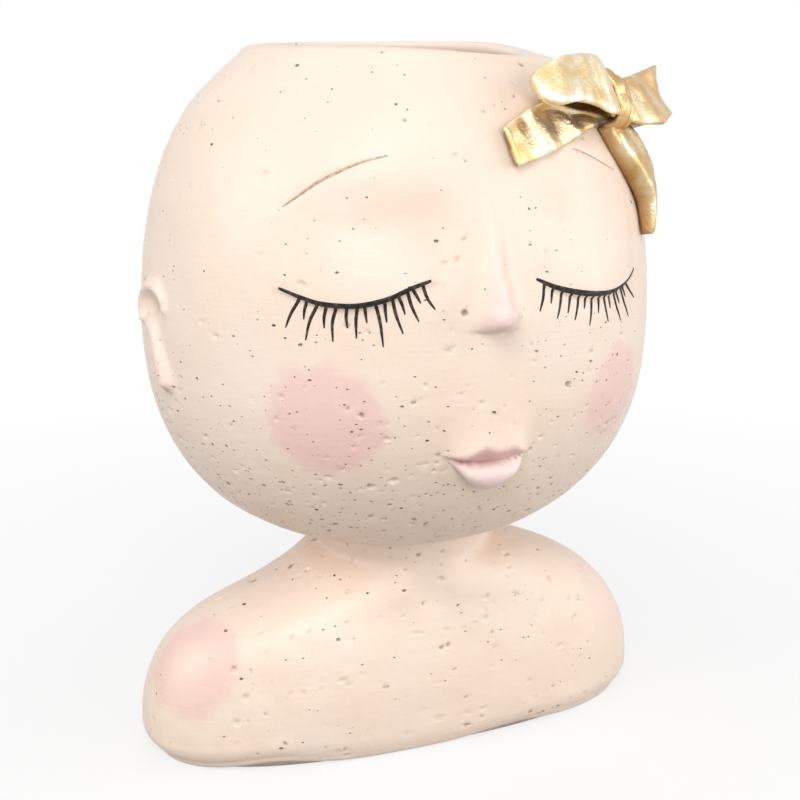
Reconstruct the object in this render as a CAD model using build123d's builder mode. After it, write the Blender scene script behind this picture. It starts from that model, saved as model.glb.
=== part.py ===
from build123d import *

import os
from math import asin, atan2, copysign, cos, exp, radians, sin

os.makedirs("parts", exist_ok=True)

# Main sizes of the planter, in millimetres
overall_height = 201.0
neck_joint_height = 64.0
wall = 6.0
rim_land = 6.3
lip_depth = 10.0
floor_thickness = 5.0

# The head is an egg form, cut level at the rim and at the neck. The bust stands behind the origin, which is
# under the middle of the whole planter, nose included, and the head leans forward of the bust
head_half_width = 72.5
head_half_depth = 68.2
head_equator_height = 126.0
head_forward = 2.5
bust_back = 6.8
head_roundness = 2.38
rim_cut_share = 0.88
neck_cut_share = 0.954

# The shoulders are a lower and flatter egg form that blends into the round neck. The shoulder on the side of
# lesser X slopes away from the neck: its width is cut by a share, most at one level and less above and below
shoulder_half_width = 78.4
shoulder_half_depth = 29.5
shoulder_equator_height = 8.0
shoulder_top_height = 58.0
shoulder_roundness = 2.3
plan_roundness = 2.5
base_cut_share = 0.527
neck_half_width = 27.0
neck_half_depth = 25.5
blend_power = 6
slope_cut_share = 0.27
slope_height = 50.0
slope_spread = 8.6
bust_level_shares = [0.0, 0.05, 0.125, 0.25, 0.40, 0.56, 0.69, 0.78, 0.84, 0.885, 0.94, 1.0]

# The spigot on the neck centres the head
spigot_radius = 16.0
spigot_height = 7.0
spigot_clearance = 0.15
socket_end_gap = 0.5

# Drain channel through the neck, and the plug that closes it from below
drain_radius = 5.0
plug_clearance = 0.05
plug_reach = 14.0
plug_lead_in = 0.8
recess_radius = 11.0
recess_depth = 6.0
flange_radius = 10.0
flange_thickness = 2.5
grip_radius = 3.5
grip_height = 2.5
edge_break = 0.6

# Nose: a ridge of level ellipses that ends in a round tip
nose_half_width = 5.0
nose_reach = 9.0
nose_tip_radius = 5.2
nose_tip_height_share = 0.18
nose_ridge_shares = [(0.53, 0.38, 0.07), (0.40, 0.55, 0.34), (0.29, 0.74, 0.62), (0.19, 0.97, 0.93)]

# Lips: ridges of upright ellipses, as (azimuth in degrees, half height share, reach share)
upper_lip_half_height = 2.8
upper_lip_reach = 3.2
upper_lip_height_share = -0.406
upper_lip_shares = [(-11.5, 0.3, 0.35), (-6.0, 1.0, 1.0), (0.0, 0.8, 0.9), (6.0, 1.0, 1.0), (11.5, 0.3, 0.35)]
lower_lip_half_height = 4.8
lower_lip_reach = 4.4
lower_lip_height_share = -0.503
lower_lip_shares = [(-9.0, 0.35, 0.3), (-4.5, 0.9, 0.85), (0.0, 1.0, 1.0), (4.5, 0.9, 0.85), (9.0, 0.35, 0.3)]

# Ears: ridges of level ellipses, as (height share, azimuth in degrees, half width share, reach share)
ear_half_width = 8.0
ear_reach = 2.4
ear_shares = [
    (-0.27, 80.0, 0.3, 0.3), (-0.20, 82.0, 0.55, 0.8), (-0.08, 85.0, 0.75, 0.85), (0.05, 89.0, 0.95, 0.95),
    (0.15, 91.0, 0.9, 1.0), (0.205, 91.0, 0.65, 0.8), (0.23, 91.0, 0.3, 0.3)]
ear_hollow_radius = 6.0
ear_hollow_depth = 2.8
ear_hollow_azimuth = 90.0
ear_hollow_height_share = 0.1

# The bow: its place on the head, its ribbon and the wrap at its middle
bow_azimuth = 46.0
bow_height_share = 0.78
bow_facing_azimuth = 36.0
bow_facing_elevation = 33.0
bow_roll = -2.5
ribbon_thickness = 2.2
seat_gap = 0.3
glue_gap = 0.2
bow_half_span = 32.0
ribbon_width = 15.0
loop_height = 12.2
loop_corner = 1.6
knot_half_width = 4.5
knot_half_length = 7.6
knot_height = 9.6
knot_slant = -17.5
knot_rounding = 1.6

# Outlines of the two loops, seen from the side as (along, up) and from the front as (along, across).
# Along is a share of the half span, up of the loop height and across of the ribbon width.
left_loop_side_shares = [
    (0.0, 0.30), (0.0, 0.62), (-0.14, 0.66), (-0.33, 1.0), (-0.64, 0.95), (-0.88, 0.58), (-0.97, 0.24),
    (-0.88, 0.16), (-0.55, 0.26)]
left_loop_front_shares = [
    (0.1, -0.36), (-0.60, -0.40), (-0.90, -0.30), (-1.02, -0.08), (-0.97, 0.48), (-0.80, 0.63), (-0.30, 0.64),
    (0.1, 0.52)]
right_loop_side_shares = [
    (0.0, 0.26), (0.0, 0.56), (0.14, 0.60), (0.45, 0.78), (0.78, 0.82), (0.95, 0.67), (0.97, 0.42), (0.55, 0.24)]
right_loop_front_shares = [
    (-0.1, -0.40), (0.33, -0.66), (0.66, -0.60), (0.82, -0.48), (0.88, -0.10), (1.02, 0.46), (0.60, 0.42),
    (-0.1, 0.34)]

# Corners of the left tail on the head, as (azimuth in degrees, height share)
left_tail_corner_shares = [
    (42.0, 0.71), (32.0, 0.69), (24.0, 0.66), (7.5, 0.60), (4.0, 0.737), (13.0, 0.777), (23.0, 0.807), (37.0, 0.80)]

# The right tail's folded ribbon: azimuths and height shares of its left foot, ridge and right foot, and
# the ridge's height as a share of the fold height
fold_height = 7.2
right_tail_shares = [
    ((42.5, 0.675), (42.5, 0.69), (53.0, 0.70), 0.62),
    ((45.0, 0.59), (44.5, 0.605), (57.0, 0.62), 0.86),
    ((51.0, 0.505), (48.5, 0.515), (62.0, 0.54), 0.90),
    ((54.0, 0.41), (51.5, 0.43), (64.0, 0.44), 0.78),
    ((55.5, 0.325), (53.5, 0.34), (63.5, 0.345), 0.56)]
tail_underside_share = 0.16


def egg(half_width, equator, upper_rise, lower_rise, roundness, depth_share, forward):
    """The numbers that describe one egg form."""
    return {"half_width": half_width, "equator": equator, "upper": upper_rise, "lower": lower_rise,
            "roundness": roundness, "depth_share": depth_share, "forward": forward}


def grown(form, margin):
    """The same egg form with every half size larger by a margin."""
    return egg(form["half_width"] + margin, form["equator"], form["upper"] + margin,
               form["lower"] + margin, form["roundness"], form["depth_share"], form["forward"])


def egg_angle(form, height):
    """Angle on the egg's side, zero at its widest level, where it reaches a height."""
    offset = height - form["equator"]
    rise = form["upper"] if offset >= 0 else form["lower"]
    return copysign(asin((abs(offset) / rise) ** (form["roundness"] / 2)), offset)


def egg_point(form, angle):
    """Half width and height of the egg's side at an angle."""
    power = 2 / form["roundness"]
    rise = form["upper"] if angle >= 0 else form["lower"]
    height = form["equator"] + copysign(rise * abs(sin(angle)) ** power, angle)
    return form["half_width"] * cos(angle) ** power, height


def rounded_oval(half_width, half_depth, roundness, left_share=1):
    """Points round an oval from its back, which is squarer than an ellipse when its roundness is above 2.
    The half on the side of lesser X may be narrower, by a share."""
    count = 24
    points = []
    for step in range(count):
        turn = radians(90 + 360 * step / count)
        across = half_width * copysign(abs(cos(turn)) ** (2 / roundness), cos(turn))
        back = half_depth * copysign(abs(sin(turn)) ** (2 / roundness), sin(turn))
        points.append((across if across > 0 else across * left_share, back))
    return points


def egg_solid(form, low, high):
    """The egg between two levels, lofted through its level ellipses."""
    steps = 14
    first, last = egg_angle(form, low), egg_angle(form, high)
    with BuildPart() as body:
        for step in range(steps + 1):
            half_width, height = egg_point(form, first + (last - first) * step / steps)
            with BuildSketch(Plane((0, -form["forward"], height))):
                with BuildLine():
                    Spline(*rounded_oval(half_width, half_width * form["depth_share"], 2), periodic=True)
                make_face()
        loft()
    return body.part


def head_height(share):
    """Height of a place on the head: 1 at the rim, 0 at the widest level and -1 at the neck joint."""
    span = overall_height - head_equator_height if share >= 0 else head_equator_height - neck_joint_height
    return head_equator_height + share * span


def head_place(azimuth, share, lift=0):
    """Plane that touches the head: x runs level towards greater azimuths, z points straight out."""
    depth_share = head_form["depth_share"]
    turn = atan2(depth_share * sin(radians(azimuth)), cos(radians(azimuth)))
    half_width, height = egg_point(head_form, egg_angle(head_form, head_height(share)))
    rise = head_form["upper"] if share >= 0 else head_form["lower"]
    level = half_width / head_half_width
    climb = (height - head_equator_height) / rise
    power = head_roundness - 1
    outward = Vector(
        sin(turn) * level ** power / head_half_width,
        -cos(turn) * level ** power / head_half_depth,
        copysign(abs(climb) ** power / rise, climb)).normalized()
    front = head_form["forward"] + half_width * depth_share * cos(turn)
    touch = Vector(half_width * sin(turn), -front, height)
    return Plane(origin=touch + outward * lift, x_dir=Vector(-outward.Y, outward.X, 0), z_dir=outward)


def level_ridge(stations, half_width, reach, ruled=False):
    """A ridge up the head, lofted through level ellipses given as (height share, azimuth, shares)."""
    with BuildPart() as ridge:
        for height_share, azimuth, width_share, reach_share in stations:
            seat = head_place(azimuth, height_share)
            with BuildSketch(Plane(origin=seat.origin, x_dir=seat.x_dir, z_dir=(0, 0, 1))):
                Ellipse(half_width * width_share, reach * reach_share)
        loft(ruled=ruled)
    return ridge.part


def cross_ridge(stations, height_share, half_height, reach):
    """A ridge across the face, lofted through upright ellipses given as (azimuth, shares)."""
    with BuildPart() as ridge:
        for azimuth, upright_share, reach_share in stations:
            seat = head_place(azimuth, height_share)
            with BuildSketch(Plane(origin=seat.origin, x_dir=seat.z_dir, z_dir=seat.x_dir)):
                Ellipse(reach * reach_share, half_height * upright_share)
        loft()
    return ridge.part


def ball(radius, place, lift):
    """A ball whose centre is lifted off a place on the head."""
    with BuildPart() as form:
        Sphere(radius)
    return place * Pos(0, 0, lift) * form.part


def outline(shares, along, across):
    """Corners given as shares of two sizes."""
    return [(first * along, second * across) for first, second in shares]


head_form = egg(
    head_half_width, head_equator_height, (overall_height - head_equator_height) / rim_cut_share,
    (head_equator_height - neck_joint_height) / neck_cut_share, head_roundness,
    head_half_depth / head_half_width, head_forward - bust_back)
shoulder_form = egg(
    shoulder_half_width, shoulder_equator_height, shoulder_top_height - shoulder_equator_height,
    shoulder_equator_height / base_cut_share, shoulder_roundness,
    shoulder_half_depth / shoulder_half_width, 0)
cavity_form = grown(head_form, -wall)
cavity_floor_height = neck_joint_height + spigot_height + socket_end_gap + floor_thickness
rim_half_width = egg_point(head_form, egg_angle(head_form, overall_height))[0]
mouth_opening_half_width = rim_half_width - rim_land
mouth_opening_half_depth = rim_half_width * head_half_depth / head_half_width - rim_land

# The face and ears, as forms that are cast in one with the head
nose_stations = [(height, 0, width, reach) for height, width, reach in nose_ridge_shares]
face_forms = [
    level_ridge(nose_stations, nose_half_width, nose_reach),
    ball(nose_tip_radius, head_place(0, nose_tip_height_share), nose_reach - nose_tip_radius),
    cross_ridge(upper_lip_shares, upper_lip_height_share, upper_lip_half_height, upper_lip_reach),
    cross_ridge(lower_lip_shares, lower_lip_height_share, lower_lip_half_height, lower_lip_reach)]
ear_hollows = []
for side in (-1, 1):
    ear_stations = [(height, side * azimuth, width, reach) for height, azimuth, width, reach in ear_shares]
    face_forms.append(level_ridge(ear_stations, ear_half_width, ear_reach, ruled=True))
    hollow_place = head_place(side * ear_hollow_azimuth, ear_hollow_height_share)
    ear_hollows.append(ball(ear_hollow_radius, hollow_place, ear_reach + ear_hollow_radius - ear_hollow_depth))
head_axis_plane = Plane(origin=(0, bust_back - head_forward, 0))
head_mass = egg_solid(head_form, neck_joint_height, overall_height)
cavity = egg_solid(cavity_form, cavity_floor_height, overall_height - lip_depth / 2)

# Head: a hollow cast shell, open at the rim, with the face, ears and spigot socket cast in
with BuildPart() as head_shell:
    add(head_mass)
    for form in face_forms:
        add(form)
    for hollow in ear_hollows:
        add(hollow, mode=Mode.SUBTRACT)
    add(cavity, mode=Mode.SUBTRACT)
    with BuildSketch(head_axis_plane.offset(overall_height)):
        Ellipse(mouth_opening_half_width, mouth_opening_half_depth)
    extrude(amount=-lip_depth, mode=Mode.SUBTRACT)
    with BuildSketch(head_axis_plane.offset(neck_joint_height)):
        Circle(spigot_radius + spigot_clearance)
    extrude(amount=spigot_height + socket_end_gap, mode=Mode.SUBTRACT)
    with BuildSketch(head_axis_plane.offset(neck_joint_height)):
        Circle(drain_radius)
    extrude(amount=cavity_floor_height - neck_joint_height, mode=Mode.SUBTRACT)
head_shell.part.label = "head_shell"
export_step(head_shell.part, "parts/head_shell.step")


def bust_section(height):
    """Half width, half depth, centre, roundness and share of its lesser X side of the bust at a height:
    shoulders blended with neck."""
    shoulder = 0
    if height < shoulder_top_height:
        shoulder = egg_point(shoulder_form, egg_angle(shoulder_form, height))[0]
    shoulder_depth = shoulder * shoulder_half_depth / shoulder_half_width
    half_width = (shoulder ** blend_power + neck_half_width ** blend_power) ** (1 / blend_power)
    half_depth = (shoulder_depth ** blend_power + neck_half_depth ** blend_power) ** (1 / blend_power)
    climb = height / neck_joint_height
    roundness = plan_roundness + (2 - plan_roundness) * climb ** 2
    left_share = 1 - slope_cut_share * exp(-((height - slope_height) / slope_spread) ** 2)
    return half_width, half_depth, bust_back - head_forward * climb, roundness, left_share


# Bust: neck and shoulders in one casting, with the spigot on top and the plug's recess underneath
with BuildPart() as bust:
    for level_share in bust_level_shares:
        level = neck_joint_height * level_share
        half_width, half_depth, centre, roundness, left_share = bust_section(level)
        with BuildSketch(Plane((0, centre, level))):
            with BuildLine():
                Spline(*rounded_oval(half_width, half_depth, roundness, left_share), periodic=True)
            make_face()
    loft()
    with BuildSketch(head_axis_plane.offset(neck_joint_height)):
        Circle(spigot_radius)
    extrude(amount=spigot_height)
    with BuildSketch(head_axis_plane):
        Circle(recess_radius)
    extrude(amount=recess_depth, mode=Mode.SUBTRACT)
    with BuildSketch(head_axis_plane.offset(recess_depth)):
        Circle(drain_radius)
    extrude(amount=neck_joint_height + spigot_height - recess_depth, mode=Mode.SUBTRACT)
bust.part.label = "bust"
export_step(bust.part, "parts/bust.step")

# Drain plug: a soft stem in the channel, a flange in the recess and a grip that stays above the floor
with BuildPart() as drain_plug:
    with BuildSketch(head_axis_plane.offset(recess_depth - flange_thickness)):
        Circle(flange_radius)
    extrude(amount=flange_thickness)
    with BuildSketch(head_axis_plane.offset(recess_depth)):
        Circle(drain_radius - plug_clearance)
    extrude(amount=plug_reach)
    with BuildSketch(head_axis_plane.offset(recess_depth - flange_thickness - grip_height)):
        Circle(grip_radius)
    extrude(amount=grip_height)
    chamfer(drain_plug.edges().sort_by(Axis.Z)[-1], length=plug_lead_in)
    fillet(drain_plug.edges().sort_by(Axis.Z)[0], radius=edge_break)
drain_plug.part.label = "drain_plug"
export_step(drain_plug.part, "parts/drain_plug.step")

# The bow lies on a plane of its own, faced a little forward of where it is seated on the head
bow_seat = head_place(bow_azimuth, bow_height_share).origin
facing_turn, facing_climb = radians(bow_facing_azimuth), radians(bow_facing_elevation)
bow_outward = Vector(
    sin(facing_turn) * cos(facing_climb), -cos(facing_turn) * cos(facing_climb), sin(facing_climb))
bow_level = Vector(cos(facing_turn), sin(facing_turn), 0)
bow_plane = Plane(origin=bow_seat, x_dir=bow_level, z_dir=bow_outward).rotated((0, 0, bow_roll))
bow_side = Plane(origin=bow_seat, x_dir=bow_plane.x_dir, z_dir=-bow_plane.y_dir)
knot_plane = bow_plane.rotated((0, 0, knot_slant))
knot_side = Plane(origin=bow_seat, x_dir=knot_plane.x_dir, z_dir=-knot_plane.y_dir)
head_room = egg_solid(grown(head_form, seat_gap), neck_joint_height, overall_height)
tail_skin = egg_solid(grown(head_form, seat_gap + ribbon_thickness), neck_joint_height, overall_height)
tail_room = egg_solid(
    grown(head_form, seat_gap + ribbon_thickness + glue_gap), neck_joint_height, overall_height)
knot_slab = knot_plane * Box(
    (knot_half_width + glue_gap) * 2, bow_half_span * 2, bow_half_span * 2)
knot_room = knot_plane * Box(
    (knot_half_width + glue_gap) * 2, (knot_half_length + glue_gap) * 2, bow_half_span * 2)

# Knot: a short length of ribbon wrapped over the middle, seated on the head
with BuildPart() as bow_knot:
    with BuildSketch(knot_side):
        with Locations((0, knot_height / 2 - knot_half_length / 2)):
            Rectangle(knot_half_width * 2, knot_height + knot_half_length)
    extrude(amount=knot_half_length, both=True)
    fillet(bow_knot.edges(), radius=knot_rounding)
    add(head_room, mode=Mode.SUBTRACT)
bow_knot.part.label = "bow_knot"
export_step(bow_knot.part, "parts/bow_knot.step")


def ribbon_loop(side_shares, front_shares, room_below):
    """A flattened ring of ribbon, trimmed to its front outline and cut back from the knot and below."""
    with BuildPart() as loop:
        with BuildSketch(bow_side):
            with BuildLine():
                Polyline(*outline(side_shares, bow_half_span, loop_height), close=True)
            ring = make_face()
            fillet(ring.vertices(), radius=loop_corner)
            offset(amount=-ribbon_thickness, mode=Mode.SUBTRACT)
        extrude(amount=ribbon_width, both=True)
        with BuildSketch(bow_plane.offset(-loop_height)):
            with BuildLine():
                Polyline(*outline(front_shares, bow_half_span, ribbon_width), close=True)
            front = make_face()
            fillet(front.vertices(), radius=loop_corner)
        extrude(amount=loop_height * 3, dir=bow_plane.z_dir, mode=Mode.INTERSECT)
        add(knot_slab, mode=Mode.SUBTRACT)
        add(room_below, mode=Mode.SUBTRACT)
    return loop.part


def ribbon_fold(stations, loop_above):
    """A ribbon folded lengthwise over the head: sections of left foot, ridge, right foot and underside.
    It is cut back from the loop above it where that comes as low."""
    with BuildPart() as fold:
        for left, ridge, right, rise_share in stations:
            left_foot = head_place(*left, lift=seat_gap * 2).origin
            right_foot = head_place(*right, lift=seat_gap * 2).origin
            top = head_place(*ridge, lift=fold_height * rise_share).origin
            middle = [(first + second) / 2 for first, second in zip(left, right)]
            under = head_place(*middle, lift=fold_height * rise_share * tail_underside_share).origin
            across = (right_foot - left_foot).normalized()
            section = Plane(origin=left_foot, x_dir=across, z_dir=(top - left_foot).cross(across))
            corners = [section.to_local_coords(point) for point in (left_foot, top, right_foot, under)]
            with BuildSketch(section):
                with BuildLine():
                    Polyline(*[(corner.X, corner.Y) for corner in corners], close=True)
                make_face()
        loft(ruled=True)
        add(head_room, mode=Mode.SUBTRACT)
        add(knot_room, mode=Mode.SUBTRACT)
        add(loop_above, mode=Mode.SUBTRACT)
    return fold.part


# Loops: two closed bands of stiff ribbon, one each side of the knot
bow_left_loop = ribbon_loop(left_loop_side_shares, left_loop_front_shares, tail_room)
bow_left_loop.label = "bow_left_loop"
export_step(bow_left_loop, "parts/bow_left_loop.step")
bow_right_loop = ribbon_loop(right_loop_side_shares, right_loop_front_shares, head_room)
bow_right_loop.label = "bow_right_loop"
export_step(bow_right_loop, "parts/bow_right_loop.step")

# Left tail: a flat strip of ribbon that follows the head's curve up to the knot
with BuildPart() as bow_left_tail:
    add(tail_skin)
    add(head_room, mode=Mode.SUBTRACT)
    tail_corners = [
        bow_plane.to_local_coords(head_place(*corner).origin) for corner in left_tail_corner_shares]
    with BuildSketch(bow_plane.offset(-bow_half_span)):
        with BuildLine():
            Polyline(*[(corner.X, corner.Y) for corner in tail_corners], close=True)
        make_face()
    extrude(amount=bow_half_span * 2, dir=bow_plane.z_dir, mode=Mode.INTERSECT)
    add(knot_room, mode=Mode.SUBTRACT)
bow_left_tail.part.label = "bow_left_tail"
export_step(bow_left_tail.part, "parts/bow_left_tail.step")

# Right tail: a strip folded lengthwise, standing proud of the head along its ridge
bow_right_tail = ribbon_fold(right_tail_shares, bow_right_loop)
bow_right_tail.label = "bow_right_tail"
export_step(bow_right_tail, "parts/bow_right_tail.step")
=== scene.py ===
import bmesh
import bpy
import numpy as np
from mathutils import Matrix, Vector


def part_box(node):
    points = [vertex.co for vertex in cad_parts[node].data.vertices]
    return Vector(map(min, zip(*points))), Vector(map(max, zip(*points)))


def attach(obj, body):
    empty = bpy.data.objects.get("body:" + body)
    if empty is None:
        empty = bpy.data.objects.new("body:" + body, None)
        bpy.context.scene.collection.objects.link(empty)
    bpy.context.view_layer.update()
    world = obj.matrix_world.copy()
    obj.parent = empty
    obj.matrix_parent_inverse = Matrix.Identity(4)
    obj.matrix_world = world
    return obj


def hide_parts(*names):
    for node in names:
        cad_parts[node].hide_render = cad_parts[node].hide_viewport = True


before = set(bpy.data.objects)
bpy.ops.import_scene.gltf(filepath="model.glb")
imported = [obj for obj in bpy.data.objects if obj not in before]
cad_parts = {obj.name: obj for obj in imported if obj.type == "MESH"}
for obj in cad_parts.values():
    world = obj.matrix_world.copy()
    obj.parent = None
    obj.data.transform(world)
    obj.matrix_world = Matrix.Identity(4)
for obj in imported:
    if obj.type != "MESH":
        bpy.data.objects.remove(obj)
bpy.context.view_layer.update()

# Head: one hollow casting in resin, open at the crown, with nose, lips, eyelids and ears raised on it.
# The casting is egg shaped, its crown and neck are cut level, and its floor has a drain hole. It is brushed
# with satin peach paint, and blush and lip colour are dabbed on top.
mm = 0.001
head_low, head_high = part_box("head_shell")
plug_low, plug_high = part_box("drain_plug")
head_axis = (plug_low.y + plug_high.y) / 2 / mm
neck_joint = head_low.z / mm
rim_height = head_high.z / mm
head_half_width = 72.5
head_depth_share = 68.2 / 72.5
head_widest = 126.0
head_upper_rise = 85.2
head_lower_rise = 65.0
head_roundness = 2.38
wall = 6.0
mouth_half_width = 35.0
mouth_depth_share = 0.93
cavity_floor = 76.5
bore_radius = 5.0
socket_radius = 16.15
socket_top = 71.5
paint_peach = (0.925, 0.775, 0.66)
paint_rose = (0.86, 0.48, 0.50)
paint_lip_pale = (0.96, 0.76, 0.78)
# The upper lip's mauve: lip paint darkened by painted shade
lip_mauve_and_shade = (0.76, 0.48, 0.49)
paint_nose = (0.95, 0.70, 0.69)
# Brown for painted shade in the ears, and for the chips at the bust's foot
shade_and_chip_brown = (0.36, 0.21, 0.15)
paint_warmth = (0.02, 0.11, 0.12)
# Painted shade for the lips' parting and corners
parting_shade = (0.36, 0.15, 0.14)
# Dirt and painted shade for the air holes
pit_dirt_and_shade = (0.22, 0.14, 0.09)


def smooth_step(value, low, high):
    """Zero below low, one above high, and a cubic that is level at both ends between them."""
    share = np.clip((value - low) / (high - low), 0, 1)
    return share * share * (3 - 2 * share)


def egg_half_width(height, half_width, upper, lower):
    """Half width at a height: a superellipse about the widest level, taller above it than below."""
    climb = np.abs(height - head_widest) / np.where(height > head_widest, upper, lower)
    return half_width * np.clip(1 - climb ** head_roundness, 0, 1) ** (1 / head_roundness)


def egg_side(low, high, half_width, upper, lower, count):
    """Points (half width, height) up the egg's side, taken evenly in the superellipse's own angle."""
    power = 2 / head_roundness

    def angle(height):
        """The angle that belongs to a height: the arcsine of the share of the rise, to a power."""
        rise = upper if height > head_widest else lower
        return np.sign(height - head_widest) * np.arcsin((abs(height - head_widest) / rise) ** (1 / power))

    turn = np.linspace(angle(low), angle(high), count)
    rise = np.where(turn > 0, upper, lower)
    height = head_widest + np.sign(turn) * rise * np.abs(np.sin(turn)) ** power
    return np.stack([half_width * np.cos(turn) ** power, height], axis=-1)


def egg_surface(azimuth, height):
    """Point and outward normal on the head: an ellipse of the egg's half width at each level."""
    turn = np.arctan2(head_depth_share * np.sin(azimuth), np.cos(azimuth))
    half_width = egg_half_width(height, head_half_width, head_upper_rise, head_lower_rise)
    rise = np.where(height > head_widest, head_upper_rise, head_lower_rise)
    point = np.stack([
        half_width * np.sin(turn),
        head_axis - half_width * head_depth_share * np.cos(turn),
        height + 0 * turn], axis=-1)
    level = (half_width / head_half_width) ** (head_roundness - 1)
    climb = (height - head_widest) / rise
    normal = np.stack([
        np.sin(turn) * level / head_half_width,
        -np.cos(turn) * level / (head_half_width * head_depth_share),
        np.sign(climb) * np.abs(climb) ** (head_roundness - 1) / rise + 0 * turn], axis=-1)
    return point, normal / np.linalg.norm(normal, axis=-1, keepdims=True)


def path_distance(across, height, corners):
    """Least distance to a chain of straight runs, and how far along the chain it lies, from 0 to 1."""
    corners = np.asarray(corners, float)
    runs = np.diff(corners, axis=0)
    lengths = np.hypot(runs[:, 0], runs[:, 1])
    starts = np.concatenate([[0], np.cumsum(lengths)])
    best = np.full(np.broadcast(across, height).shape, 1e9)
    along = np.zeros_like(best)
    for corner, run, length, start in zip(corners, runs, lengths, starts):
        share = np.clip(((across - corner[0]) * run[0] + (height - corner[1]) * run[1]) / length ** 2, 0, 1)
        gap = np.hypot(across - corner[0] - share * run[0], height - corner[1] - share * run[1])
        nearer = gap < best
        best = np.where(nearer, gap, best)
        along = np.where(nearer, (start + share * length) / starts[-1], along)
    return best, along


# Lash lines, brows, mouth and ears as (azimuth in degrees, height in mm) on the head
left_lash_line = [
    (-46.0, 144.2), (-41.2, 142.4), (-37.0, 141.1), (-31.8, 140.7), (-27.8, 141.1), (-23.0, 142.6),
    (-18.8, 144.9), (-14.6, 146.6)]
right_lash_line = [
    (9.3, 145.4), (13.6, 143.0), (18.6, 141.2), (24.7, 139.8), (30.4, 139.4), (36.3, 140.3),
    (41.0, 141.6), (44.5, 143.0)]
left_brow = [
    (-46.5, 163.6), (-43.0, 166.4), (-38.8, 169.6), (-33.3, 172.5), (-28.9, 174.3), (-23.8, 175.6)]
right_brow = [(25.8, 175.7), (28.9, 174.8), (33.1, 173.0), (37.3, 171.1), (42.3, 169.1)]
upper_lip_edge = [
    (-12.6, 101.9), (-10.6, 101.9), (-8.2, 102.1), (-6.7, 102.4), (-5.3, 103.2), (-4.0, 103.9),
    (-2.6, 104.4), (-1.3, 103.9), (0.1, 103.3), (2.0, 103.3), (3.0, 103.6), (4.1, 103.8),
    (5.3, 103.2), (6.6, 102.3), (8.2, 101.4), (10.2, 100.7)]
lip_parting = [
    (-12.6, 101.9), (-8.7, 100.2), (-4.7, 99.4), (-2.0, 99.2), (0.9, 99.1), (4.2, 99.3),
    (7.8, 100.2), (10.2, 100.7)]
lower_lip_edge = [
    (-12.6, 101.9), (-11.0, 100.5), (-9.0, 98.5), (-6.7, 95.9), (-4.8, 93.8), (-2.9, 92.2),
    (-0.9, 91.4), (1.4, 92.0), (3.4, 93.7), (5.5, 96.0), (7.5, 98.3), (8.9, 99.9), (10.2, 100.7)]
ear_helix = [
    (78.6, 134.2), (79.4, 136.6), (82.0, 139.0), (87.0, 138.6), (90.4, 135.8), (91.4, 132.0),
    (90.6, 129.4)]
ear_stem = [(86.2, 129.0), (84.2, 127.6), (82.2, 123.6), (80.2, 118.6), (79.2, 114.8)]
ear_hollow = (84.9, 133.6)
# Where a painted shadow lies under the end of each ear's lobe
ear_lobe_shadow = (78.2, 112.6)
# Nose: heights of its tip and top, its ridge as (height, mm across), and the y past which it is pressed back
nose_tip = 138.4
nose_top = 176.0
nose_ridge = [
    (134.0, -0.9), (138.6, -0.8), (143.0, -1.5), (147.5, -1.9), (152.0, -1.8), (158.0, -1.0),
    (176.0, 0.0)]
nose_front = -71.4
# Every azimuth on the head is turned into mm with one radius
level_radius = 70.0
degree = np.pi / 180


def arc_points(corners, side=1):
    """Corners in degrees and mm turned into mm round the head and mm up it."""
    return [(side * azimuth * degree * level_radius, height) for azimuth, height in corners]


def path_cubic(before, start, end, after, share):
    """A share of the way from start to end on the cubic whose slopes come from the points on each side."""
    return 0.5 * (2 * start + (end - before) * share
                  + (2 * before - 5 * start + 4 * end - after) * share ** 2
                  + (3 * start - before - 3 * end + after) * share ** 3)


def smooth_path(corners, count):
    """A curve through a few points, from the first to the last, made of one cubic for each stretch."""
    corners = np.asarray(corners, float)
    padded = np.concatenate([2 * corners[:1] - corners[1:2], corners, 2 * corners[-1:] - corners[-2:-1]])
    at = np.linspace(0, len(corners) - 1, count)
    cell = np.minimum(at.astype(int), len(corners) - 2)
    return path_cubic(*(padded[cell + k] for k in range(4)), (at - cell)[:, None])


def mouth_edges(azimuth):
    """Heights of the upper lip's edge, the parting and the lower lip's edge at an azimuth in degrees."""
    edges = (upper_lip_edge, lip_parting, lower_lip_edge)
    return [np.interp(azimuth, *smooth_path(edge, 160).T) for edge in edges]


def dab(across, height, middle, spread):
    """A soft dab, one at its middle: the bell curve of both distances, each over a spread of its own."""
    return np.exp(-((across - middle[0]) / spread[0]) ** 2 - ((height - middle[1]) / spread[1]) ** 2)


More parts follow.
